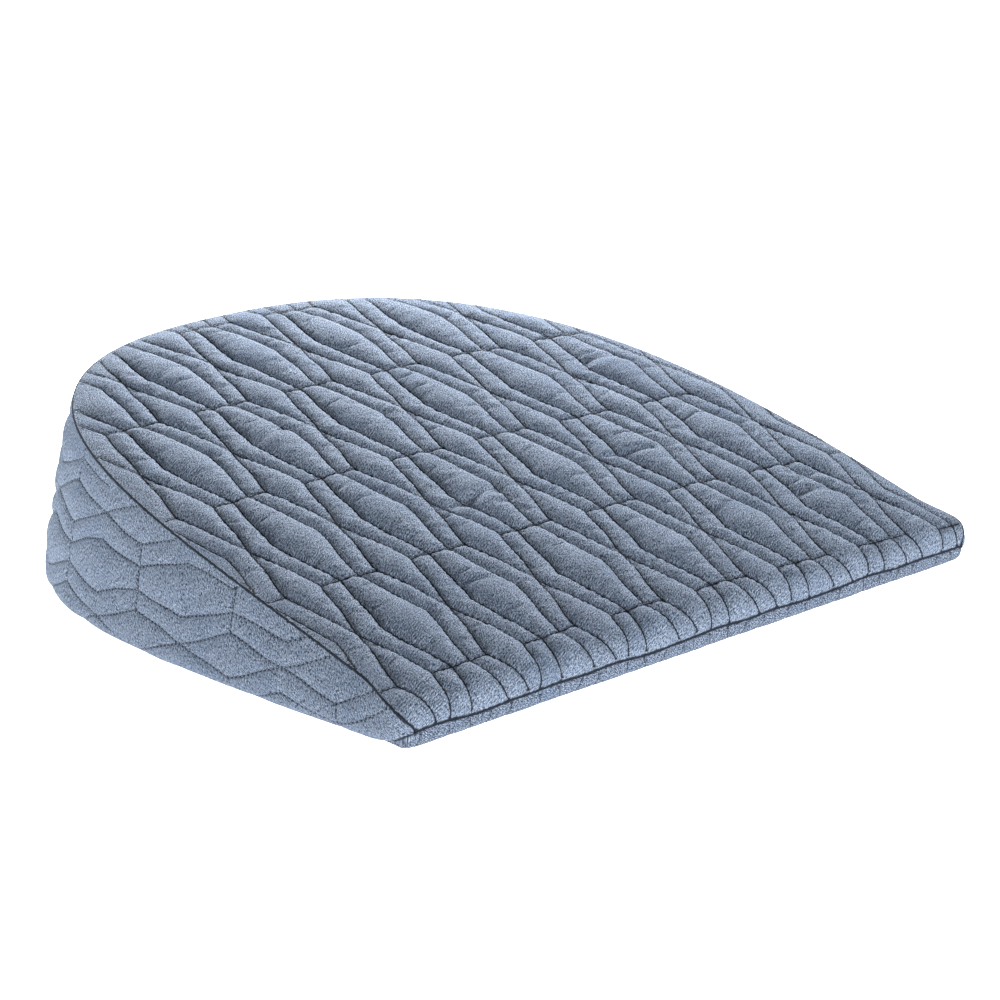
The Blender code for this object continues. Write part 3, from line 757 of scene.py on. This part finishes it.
def settled(pattern, slack):
    """Let slack cloth, sewn down at some points, settle under the pressure of its wadding.

    Gives the places that its points move to on the flat pattern, and their heights."""
    flat, held = pattern["flat"], pattern["held"]
    at_start = with_height(flat, np.where(held, 0.0, SETTLE_START))
    data = bpy.data.meshes.new("settling")
    data.from_pydata(at_start.tolist(), [], pattern["faces"].tolist())
    cloth = bpy.data.objects.new("settling", data)
    bpy.context.scene.collection.objects.link(cloth)
    sewn = cloth.vertex_groups.new(name="sewn")
    sewn.add(np.flatnonzero(held).tolist(), 1.0, "REPLACE")
    modifier = cloth.modifiers.new("settle", "CLOTH")
    settings = modifier.settings
    settings.quality = SETTLE_STEPS
    settings.mass = CLOTH_WEIGHT
    settings.air_damping = AIR_DAMPING
    settings.tension_stiffness = settings.compression_stiffness = STRETCH_STIFFNESS
    settings.shear_stiffness = SHEAR_STIFFNESS
    settings.bending_stiffness = BENDING_STIFFNESS
    settings.tension_damping = settings.compression_damping = CLOTH_DAMPING
    settings.shrink_min = -slack
    settings.vertex_group_mass = sewn.name
    settings.use_pressure = True
    settings.uniform_pressure_force = SETTLE_PRESSURE
    settings.effector_weights.gravity = 0.0
    modifier.collision_settings.use_collision = False
    modifier.collision_settings.use_self_collision = False
    modifier.point_cache.frame_start = 1
    modifier.point_cache.frame_end = SETTLE_FRAMES
    for frame_number in range(1, SETTLE_FRAMES + 1):
        bpy.context.scene.frame_set(frame_number)
    shown = cloth.evaluated_get(bpy.context.evaluated_depsgraph_get())
    places = np.zeros(3 * len(flat))
    shown.data.vertices.foreach_get("co", places)
    places = places.reshape(-1, 3)
    bpy.data.objects.remove(cloth)
    bpy.data.meshes.remove(data)
    bpy.context.scene.frame_set(1)
    return places[:, :2], places[:, 2] * pattern["calm"]


def lay_top(flat, raised):
    """Place of the top panel's outer face, raised from its flat pattern, and its direction out."""
    y = np.interp(flat[:, 1], SLOPE_RUN, SLOPE_Y)
    z = np.interp(flat[:, 1], SLOPE_RUN, SLOPE_Z)
    lean_y = -np.interp(flat[:, 1], SLOPE_RUN, np.gradient(SLOPE_Z, SLOPE_RUN))
    lean_z = np.interp(flat[:, 1], SLOPE_RUN, np.gradient(SLOPE_Y, SLOPE_RUN))
    out = np.column_stack([np.zeros(len(flat)), lean_y, lean_z])
    out /= np.linalg.norm(out, axis=1)[:, None]
    return np.column_stack([flat[:, 0], y, z]) + out * raised[:, None], out


def troughs(flat, creases):
    """Depth of soft creases, each from one place of a flat pattern to another."""
    depth = np.zeros(len(flat))
    for start, end, width, deep in creases:
        away = to_segment(flat, np.array(start) * MM, np.array(end) * MM)
        depth += deep * MM * np.exp(-((away / (width * MM)) ** 2))
    return depth


def make_top_panel():
    """The quilted top panel, from the front seam over the lip and up the slope."""
    sizes = bpy.context.scene.pillow_quilt
    boundary = np.column_stack([TOP_SEAM[:, 0], np.interp(TOP_SEAM[:, 1], SLOPE_Y, SLOPE_RUN)])
    pattern = quilt(boundary, top_place, columns=range(-4, 5), rows=range(-1, 6))
    flat, swell, rim = pattern["flat"], pattern["swell"], pattern["rim"]
    laid, raised = flat, sizes.top_puff * swell
    laid, raised = settled(pattern, sizes.top_slack)
    raised -= troughs(flat, TOP_CREASES) * swell
    points, _ = lay_top(laid, raised)
    y = np.interp(flat[:, 1], SLOPE_RUN, SLOPE_Y)
    points[:, 2] -= EDGE_DROP * quarter(y / TOP_LIP_RADIUS) * (1.0 - swell)
    points[rim] = with_height(TOP_SEAM, TOP_SEAM_Z)
    inner, inner_faces, inner_rim = hidden_top()
    faces = pattern["faces"].tolist() + [[k + len(flat) for k in face] for face in inner_faces]
    add_strips(faces, [rim, inner_rim + len(flat)], closed=True)
    cloth = np.vstack([with_height(flat, 0.0), with_height(inner[:, :2], 0.0)])
    # The hidden faces get the full painted shade of a groove
    groove = np.r_[grooves(points, pattern), np.ones(len(inner))]
    piece = make_piece("top_panel_cloth", np.vstack([points, inner]), faces, cloth, groove)
    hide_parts("top_panel")
    return piece, pattern


def band_out(at, share):
    """Outward direction of the band's outer face."""
    up = section(at, np.minimum(share + NUDGE, 1.0), 0.0) - section(at, np.maximum(share - NUDGE, 0.0), 0.0)
    along = section(at + 1.0, share, 0.0) - section(at - 1.0, share, 0.0)
    normal = np.cross(along, up)
    return normal / np.maximum(np.linalg.norm(normal, axis=1), NO_LENGTH)[:, None]


def lay_band(flat, raised):
    """Place of the band's outer face, raised from its flat pattern, and its direction out."""
    at = np.interp(flat[:, 0], ALONG[BAND_PLACES], BAND_PLACES)
    share = np.clip(flat[:, 1] / np.interp(flat[:, 0], ALONG[BAND_PLACES], TALL[BAND_PLACES]), 0.0, 1.0)
    points = section(at, share, 0.0)
    points[:, 2] -= GAP * share
    out = band_out(at, share)
    return points + out * raised[:, None], out


def band_outline(along, tall, ends):
    """Flat outline of the band: along its base seam, up one end, back along the top and down the other."""
    return np.vstack([
        np.column_stack([along, np.zeros(len(along))]),
        np.column_stack([np.full(len(ends), along[-1]), ends * tall[-1]]),
        np.column_stack([along, tall])[::-1],
        np.column_stack([np.full(len(ends), along[0]), ends[::-1] * tall[0]]),
    ])


def hidden_rows(places, shares, first):
    """Rows of points on the hidden side of the band's section, and their numbers from `first` on."""
    lines = [section(places.astype(float), np.full(len(places), share), 1.0) for share in shares]
    numbers = [first + k * len(places) + np.arange(len(places)) for k in range(len(lines))]
    return lines, numbers


def make_side_band():
    """The quilted band round the sides and the back."""
    sizes = bpy.context.scene.pillow_quilt
    along, tall = ALONG[BAND_PLACES], TALL[BAND_PLACES]
    count = len(BAND_PLACES)
    ends = np.arange(1, BAND_INNER_ROWS) / BAND_INNER_ROWS
    boundary = band_outline(along, tall, ends)
    pattern = quilt(boundary, band_place, columns=range(-3, 5), rows=range(-12, 5))
    flat, swell, rim = pattern["flat"], pattern["swell"], pattern["rim"]
    laid, raised = flat, np.zeros(len(flat))
    laid, raised = settled(pattern, sizes.band_slack)
    raised = raised + sizes.band_puff * (1.0 - (1.0 - swell) ** BAND_FLATNESS)
    from_left_front = np.column_stack([along[-1] - flat[:, 0], flat[:, 1]])
    raised -= troughs(from_left_front, BAND_CREASES) * swell
    points, _ = lay_band(laid, raised)
    shares = np.arange(BAND_INNER_ROWS + 1) / BAND_INNER_ROWS
    inner, rows = hidden_rows(BAND_PLACES, shares, len(flat))
    for share, line in zip(shares, inner):
        line[:, 2] -= GAP * share
    low, right_end = rim[:count], rim[count : count + len(ends)]
    up, left_end = rim[count + len(ends) : 2 * count + len(ends)][::-1], rim[2 * count + len(ends) :][::-1]
    faces = pattern["faces"].tolist()
    add_strips(faces, rows, closed=False)
    add_strips(faces, [low, rows[0]], closed=False)
    add_strips(faces, [up, rows[-1]], closed=False)
    add_strips(faces, [[low[-1], *right_end, up[-1]], [row[-1] for row in rows]], closed=False)
    add_strips(faces, [[low[0], *left_end, up[0]], [row[0] for row in rows]], closed=False)
    hidden = np.vstack(inner)
    cloth = np.vstack([with_height(flat, 0.0), hidden])
    # The painted shade fades where the band narrows to a point, and the hidden faces get all of it
    wide = smooth(np.interp(flat[:, 0], along, tall) / NARROW_TIP)
    groove = np.r_[grooves(points, pattern) * wide, np.ones(len(hidden))]
    piece = make_piece("side_band_cloth", np.vstack([points, hidden]), faces, cloth, groove)
    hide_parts("side_band")
    return piece, pattern


def base_edge():
    """Plan edge of the base panel, its height there, and how far the edge's round reaches in."""
    plan = BASE_OUTER[:, :2] - OUTWARD * (GAP * BASE_SHARE)[:, None]
    height = BASE_OUTER[:, 2] - GAP * (1.0 - BASE_SHARE)
    reach = BASE_SIDE_RADIUS + (BASE_LIP_RADIUS - BASE_SIDE_RADIUS) * (1.0 - BASE_SHARE)
    return plan, height, reach


def lay_base(flat, raised):
    """Place of the base panel's outer face, from its flat pattern, and its direction out."""
    edge, edge_height, edge_reach = base_edge()
    plan = np.column_stack([flat[:, 0], np.interp(flat[:, 1], BASE_RUN, BASE_Y)])
    inside, nearest = from_seam(plan, edge)
    share = np.clip(inside / edge_reach[nearest], 0.0, 1.0)
    height = edge_height[nearest] * (1.0 - quarter(share))
    fall = edge_height[nearest] * (quarter(share + NUDGE) - quarter(share)) / (NUDGE * edge_reach[nearest])
    out = np.column_stack([OUTWARD[nearest] * fall[:, None], -np.ones(len(flat))])
    out /= np.linalg.norm(out, axis=1)[:, None]
    return with_height(plan, height) + out * raised[:, None], out


def lay_base_thread(flat, raised):
    """Place of a stitch in the grooves of the base panel, and its direction out."""
    return lay_base(flat, raised - bpy.context.scene.pillow_quilt.base_puff)


def make_base_panel():
    """The base panel with the filling that it holds, as one closed padded form."""
    puff = bpy.context.scene.pillow_quilt.base_puff
    edge, edge_height, _ = base_edge()
    boundary = np.column_stack([edge[:, 0], np.interp(edge[:, 1], BASE_Y, BASE_RUN)])
    pattern = quilt(boundary, base_place, columns=range(-4, 5), rows=range(-1, 6), seam_rows=BASE_SEAM_ROWS)
    flat, rim = pattern["flat"], pattern["rim"]
    points, _ = lay_base(flat, puff * (pattern["swell"] - 1.0))
    points[rim] = with_height(edge, edge_height)
    shares = np.arange(BAND_INNER_ROWS) / BAND_INNER_ROWS
    covered, rows = hidden_rows(np.arange(RING), shares, len(flat))
    for line in covered:
        line[:, :2] -= OUTWARD * GAP
    top, top_faces, top_rim = hidden_top()
    top[:, 2] -= GAP
    top[top_rim, :2] -= SEAM_OUTWARD * GAP
    start = len(flat) + len(covered) * RING
    faces = pattern["faces"].tolist() + [[k + start for k in face] for face in top_faces]
    add_strips(faces, [rim, *rows, top_rim + start], closed=True)
    hidden = np.vstack([*covered, top])
    cloth = np.vstack([with_height(flat, 0.0), hidden])
    # The hidden faces get the full painted shade of a groove
    groove = np.r_[grooves(points, pattern), np.ones(len(hidden))]
    piece = make_piece("base_panel_cloth", np.vstack([points, hidden]), faces, cloth, groove)
    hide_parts("foam_and_base_panel")
    return piece, pattern


def stitch_places(paths, pitch):
    """Middle and direction of every stitch along the sewn paths, on the flat pattern."""
    places, ways = [], []
    for path in paths:
        count = int(run_of(path)[-1] / pitch)
        if not count:
            continue
        middles = (np.arange(count) + 0.5) / count
        before, after = np.maximum(middles - NUDGE, 0.0), np.minimum(middles + NUDGE, 1.0)
        ahead = spread(path, after) - spread(path, before)
        places.append(spread(path, middles))
        ways.append(ahead / np.linalg.norm(ahead, axis=1)[:, None])
    return np.vstack(places), np.vstack(ways)


def stitch_faces(count):
    """Faces of one stitch after another, each a small closed tube."""
    sides, rings = STITCH_SIDES, len(STITCH_ARCH)
    one = []
    for ring, k in itertools.product(range(rings - 1), range(sides)):
        a, b = ring * sides + k, ring * sides + (k + 1) % sides
        one.append((a, b, b + sides, a + sides))
    one += [tuple(range(sides))[::-1], tuple(range((rings - 1) * sides, rings * sides))]
    return [tuple(k + stitch * rings * sides for k in face) for stitch in range(count) for face in one]


def make_stitches(name, paths, lay):
    """One small arched stitch after another along every sewn path."""
    sizes = bpy.context.scene.pillow_quilt
    places, ways = stitch_places(paths, sizes.stitch_pitch)
    rings = []
    for share, lift in STITCH_ARCH:
        flat = places + ways * sizes.stitch_length * share
        rise = sizes.thread_width * (THREAD_RISE * lift - THREAD_SINK)
        middle, out = lay(flat, np.full(len(flat), rise))
        ahead = lay(flat + ways * LINE_STEP, np.zeros(len(flat)))[0] - lay(flat, np.zeros(len(flat)))[0]
        across = np.cross(ahead, out)
        across /= np.maximum(np.linalg.norm(across, axis=1), NO_LENGTH)[:, None]
        half = sizes.thread_width / 2 * (THREAD_END + (1.0 - THREAD_END) * lift)
        for k in range(STITCH_SIDES):
            angle = 2.0 * math.pi * k / STITCH_SIDES
            rings.append(middle + across * half * math.cos(angle) + out * half * math.sin(angle))
    points = stray(np.stack(rings, axis=1).reshape(-1, 3))
    return add_piece(name, closed_mesh(name, points, stitch_faces(len(places))))


# Materials

class Number:
    """A number socket of a material, which Python's own signs can be used on."""

    def __init__(self, graph, socket):
        self.graph, self.socket = graph, socket

    def math(self, operation, *others):
        return self.graph.node("ShaderNodeMath", {"operation": operation}, (self, *others))

    def __add__(self, other):
        return self.math("ADD", other)

    def __sub__(self, other):
        return self.math("SUBTRACT", other)

    def __mul__(self, other):
        return self.math("MULTIPLY", other)

    def __rsub__(self, other):
        return (self * -1.0) + other

    __radd__ = __add__
    __rmul__ = __mul__


class Graph:
    """The nodes of one material."""

    def __init__(self, name):
        self.material = bpy.data.materials.new(name)
        self.material.use_nodes = True
        self.tree = self.material.node_tree
        self.shader = self.tree.nodes["Principled BSDF"]

    def feed(self, socket, value):
        """Set a socket to a number, a colour or another node's output."""
        if isinstance(value, Number):
            value = value.socket
        if isinstance(value, bpy.types.NodeSocket):
            self.tree.links.new(value, socket)
        else:
            socket.default_value = value

    def node(self, kind, settings, inputs, output=0):
        """Add a node, with its settings first, then its inputs by place or by name."""
        made = self.tree.nodes.new(kind)
        for key, value in settings.items():
            setattr(made, key, value)
        for key, value in inputs.items() if isinstance(inputs, dict) else enumerate(inputs):
            self.feed(made.inputs[key], value)
        found = made.outputs[output]
        return Number(self, found) if found.type == "VALUE" else found

    def between(self, low, high, value):
        """0 below one value, 1 above another, with an even climb from one to the other."""
        return self.node("ShaderNodeMapRange", {"clamp": True}, (value, low, high, 0.0, 1.0))

    def blend(self, share, first, second):
        """Mix two colours."""
        return self.node("ShaderNodeMix", {"data_type": "RGBA"}, {0: share, 6: first, 7: second}, output=2)

    def noise(self, vector, scale, detail, roughness=0.5):
        """Cloudy values from 0 to 1."""
        inputs = {"Vector": vector, "Scale": scale, "Detail": detail, "Roughness": roughness}
        return self.node("ShaderNodeTexNoise", {}, inputs, output="Fac")

    def paint(self, inputs):
        """Feed the sockets of the material's shader, by name."""
        for name, value in inputs.items():
            self.feed(self.shader.inputs[name], value)


def quilted_knit(name, grain, groove_painted_shade, painted_light_and_shade=0.0):
    """Heathered knit: dark and pale fibres, white flecks, bluer patches and fine slanting rows. Shade is
    painted into its sewn lines and seams, and the whole knit of a piece can be darkened as painted shade.
    """
    colours = bpy.context.scene.pillow_colours
    graph = Graph(name)
    cloth = graph.node("ShaderNodeAttribute", {"attribute_name": "cloth"}, (), output="Vector")
    groove = graph.node("ShaderNodeAttribute", {"attribute_name": "groove"}, (), output="Fac")
    lengthwise = graph.node(
        "ShaderNodeMapping", {"vector_type": "TEXTURE"},
        {"Vector": cloth, "Rotation": (0.0, 0.0, grain), "Scale": FIBRE_SIZE})
    fibre = graph.noise(lengthwise, 1.6, 3.0, 0.75)
    fleck = graph.noise(lengthwise, 2.4, 1.0, 0.6)
    mottle = graph.noise(cloth, 160.0, 3.0, 0.6)
    patch = graph.noise(cloth, 22.0, 2.0, 0.6)
    rows = graph.node(
        "ShaderNodeTexWave", {"wave_type": "BANDS", "bands_direction": "DIAGONAL"},
        {"Vector": lengthwise, "Scale": 0.42, "Distortion": 2.2, "Detail": 2.0, "Detail Scale": 1.6},
        output="Fac")
    # The last term can lighten or darken a piece's whole knit, as painted light and shade
    tone = graph.between(0.42, 0.58, fibre) * 0.90 + rows * 0.06 + mottle * 0.40 - (0.22 - painted_light_and_shade)
    colour = graph.blend(tone, (*colours.yarn_dark, 1.0), (*colours.yarn_light, 1.0))
    colour = graph.blend(graph.between(0.50, 0.68, patch) * 0.30, colour, (*colours.blue_patch, 1.0))
    colour = graph.blend(graph.between(0.60, 0.68, fleck) * 0.8, colour, WHITE_FLECK)
    # Painted shade: the colour is darkened raggedly along the sewn lines and seams, where real shade falls in
    # the grooves
    ragged = groove + graph.noise(cloth, 390.0, 1.0, 0.6) * 0.7 - 0.35
    colour = graph.blend(graph.between(0.26, 0.62, ragged) * groove_painted_shade, colour, PAINTED_GROOVE_SHADE)
    relief = fibre * 0.6 + rows * 0.25 + fleck * 0.2
    bump = graph.node(
        "ShaderNodeBump", {}, {"Strength": 1.0, "Distance": KNIT_RELIEF, "Height": relief}, output="Normal")
    graph.paint({
        "Base Color": colour, "Roughness": 0.88 + mottle * 0.1, "Normal": bump, "Specular IOR Level": 0.10,
        "Sheen Weight": 0.03, "Sheen Roughness": 0.45, "Sheen Tint": SHEEN_TINT})
    return graph.material


def sewing_thread(name, painted_light_and_shade):
    """Twisted thread of the quilting stitches, painted darker where it lies in shade and paler where it is
    lit.
    """
    graph = Graph(name)
    place = graph.node("ShaderNodeTexCoord", {}, (), output="Object")
    # The thread's colour is scaled here as painted light and shade
    pale = tuple(painted_light_and_shade * part for part in bpy.context.scene.pillow_colours.thread)
    dark = tuple(0.5 * part for part in pale)
    colour = graph.blend(graph.noise(place, 900.0, 1.0), (*dark, 1.0), (*pale, 1.0))
    graph.paint({"Base Color": colour, "Roughness": 0.7})
    return graph.material


def floor_paint():
    """Plain matt top of a light table, with the faintest unevenness."""
    pale = bpy.context.scene.pillow_colours.floor
    darker = tuple(0.98 * part for part in pale)
    graph = Graph("floor_paint")
    place = graph.node("ShaderNodeTexCoord", {}, (), output="Object")
    colour = graph.blend(graph.noise(place, 3.0, 2.0), (*pale, 1.0), (*darker, 1.0))
    graph.paint({
        "Base Color": colour, "Roughness": 0.95, "Emission Color": colour,
        "Emission Strength": bpy.context.scene.pillow_studio.table})
    return graph.material


def dress(piece, material):
    """Give a piece one material all over."""
    piece.data.materials.clear()
    piece.data.materials.append(material)


# Studio

def make_camera():
    """Camera at the pillow's left front, a little above it, turned and shifted as the photographer's was."""
    turn, rise = CAMERA_TURN, CAMERA_RISE
    right = Vector((math.cos(turn), math.sin(turn), 0.0))
    back = Vector((math.sin(turn) * math.cos(rise), -math.cos(turn) * math.cos(rise), math.sin(rise)))
    up = back.cross(right)
    data = bpy.data.cameras.new("camera")
    data.sensor_width = SENSOR
    data.lens = bpy.context.scene.pillow_studio.focal_length
    camera = bpy.data.objects.new("camera", data)
    bpy.context.scene.collection.objects.link(camera)
    camera.matrix_world = Matrix((right, up, back)).transposed().to_4x4()
    camera.location = right * CAMERA_RIGHT + up * CAMERA_UP + back * CAMERA_BACK
    camera.location.y -= ORIGIN_BEHIND_FRONT
    bpy.context.scene.camera = camera


def make_lamp(name, kind, place, strength):
    """Lamp whose light comes from a place, towards the middle of the pillow."""
    data = bpy.data.lights.new(name, kind)
    data.energy = strength
    lamp = bpy.data.objects.new(name, data)
    bpy.context.scene.collection.objects.link(lamp)
    lamp.location = place
    lamp.rotation_mode = "QUATERNION"
    lamp.rotation_quaternion = Vector(place).to_track_quat("Z", "Y")
    return data


def make_studio():
    """The lit table, a near lamp behind at the right, two distant low ones, and even light all round."""
    studio = bpy.context.scene.pillow_studio
    bpy.ops.object.select_all(action="DESELECT")
    bpy.ops.mesh.primitive_plane_add(size=2 * FLOOR_HALF)
    floor = bpy.context.object
    floor.name = "floor"
    dress(floor, floor_paint())
    make_lamp("back_lamp", "AREA", BACK_LAMP_PLACE, studio.back_lamp).size = BACK_LAMP_SIZE
    make_lamp("side_lamp", "SUN", SIDE_LAMP_PLACE, studio.side_lamp).angle = SIDE_LAMP_SOFTNESS
    make_lamp("front_lamp", "SUN", FRONT_LAMP_PLACE, studio.front_lamp).angle = FRONT_LAMP_SOFTNESS
    world = bpy.data.worlds.new("studio")
    world.use_nodes = True
    sky = world.node_tree.nodes["Background"]
    sky.inputs["Color"].default_value = (1.0, 1.0, 1.0, 1.0)
    sky.inputs["Strength"].default_value = studio.sky
    bpy.context.scene.world = world
    bpy.context.scene.view_settings.view_transform = "Standard"
    make_camera()


# The add-on

class PILLOW_OT_top_panel(bpy.types.Operator):
    """Sew the quilted top panel"""

    bl_idname = "pillow.top_panel"
    bl_label = "Top Panel"

    def execute(self, context):
        piece, pattern = make_top_panel()
        # Shade is painted strongly into the top's grooves
        dress(piece, quilted_knit("top_knit", PANEL_GRAIN, groove_painted_shade=0.97))
        flat_area(pattern)
        stitches = make_stitches("top_panel_stitches", pattern["sewn"], lay_top)
        # The top's thread is painted dark, as painted shade in the grooves
        dress(stitches, sewing_thread("top_thread_painted_shade", painted_light_and_shade=0.22))
        return {"FINISHED"}


class PILLOW_OT_side_band(bpy.types.Operator):
    """Sew the quilted band round the sides and the back"""

    bl_idname = "pillow.side_band"
    bl_label = "Side Band"

    def execute(self, context):
        piece, pattern = make_side_band()
        # Shade is painted more weakly into the band's grooves
        dress(piece, quilted_knit("band_knit", BAND_GRAIN, groove_painted_shade=0.85))
        flat_area(pattern)
        stitches = make_stitches("side_band_stitches", pattern["sewn"], lay_band)
        # The band's thread is painted pale, as painted light
        dress(stitches, sewing_thread("band_thread_painted_light", painted_light_and_shade=1.5))
        return {"FINISHED"}


class PILLOW_OT_base_panel(bpy.types.Operator):
    """Sew the quilted base panel, with the filling above it"""

    bl_idname = "pillow.base_panel"
    bl_label = "Base Panel"

    def execute(self, context):
        piece, pattern = make_base_panel()
        # The base panel's knit is painted darker all over as painted shade, with shade painted into its
        # grooves too
        dress(piece, quilted_knit("base_knit_painted_shade", PANEL_GRAIN, groove_painted_shade=0.8, painted_light_and_shade=-0.21))
        stitches = make_stitches("base_panel_stitches", pattern["sewn"], lay_base_thread)
        dress(stitches, sewing_thread("base_thread", painted_light_and_shade=1.0))
        return {"FINISHED"}


class PILLOW_OT_studio(bpy.types.Operator):
    """Set up the floor, the lamps and the camera"""

    bl_idname = "pillow.studio"
    bl_label = "Studio"

    def execute(self, context):
        make_studio()
        return {"FINISHED"}


class PILLOW_PT_panel(bpy.types.Panel):
    """Lists the pieces of the pillow and their sizes"""

    bl_idname = "PILLOW_PT_panel"
    bl_label = "Wedge Pillow"
    bl_space_type = "VIEW_3D"
    bl_region_type = "UI"
    bl_category = "Pillow"

    def draw(self, context):
        for operator in OPERATORS:
            self.layout.operator(operator.bl_idname)
        for group in (context.scene.pillow_quilt, context.scene.pillow_colours, context.scene.pillow_studio):
            for key in group.bl_rna.properties.keys():
                if key not in ("rna_type", "name"):
                    self.layout.prop(group, key)


OPERATORS = (PILLOW_OT_top_panel, PILLOW_OT_side_band, PILLOW_OT_base_panel, PILLOW_OT_studio)
GROUPS = {
    "pillow_quilt": QuiltSettings,
    "pillow_colours": ColourSettings,
    "pillow_studio": StudioSettings,
}


def register():
    """Make the settings, the operators and the panel known to Blender."""
    for group in GROUPS.values():
        bpy.utils.register_class(group)
    for name, group in GROUPS.items():
        setattr(bpy.types.Scene, name, bpy.props.PointerProperty(type=group))
    for shown in (*OPERATORS, PILLOW_PT_panel):
        bpy.utils.register_class(shown)


def unregister():
    """Take them out again, in the other order."""
    for shown in (PILLOW_PT_panel, *reversed(OPERATORS)):
        bpy.utils.unregister_class(shown)
    for name, group in GROUPS.items():
        delattr(bpy.types.Scene, name)
        bpy.utils.unregister_class(group)


def main():
    """Build the pillow and its studio."""
    register()
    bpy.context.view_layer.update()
    bpy.ops.pillow.base_panel()
    bpy.ops.pillow.top_panel()
    bpy.ops.pillow.side_band()
    bpy.ops.pillow.studio()


if __name__ == "__main__":
    main()
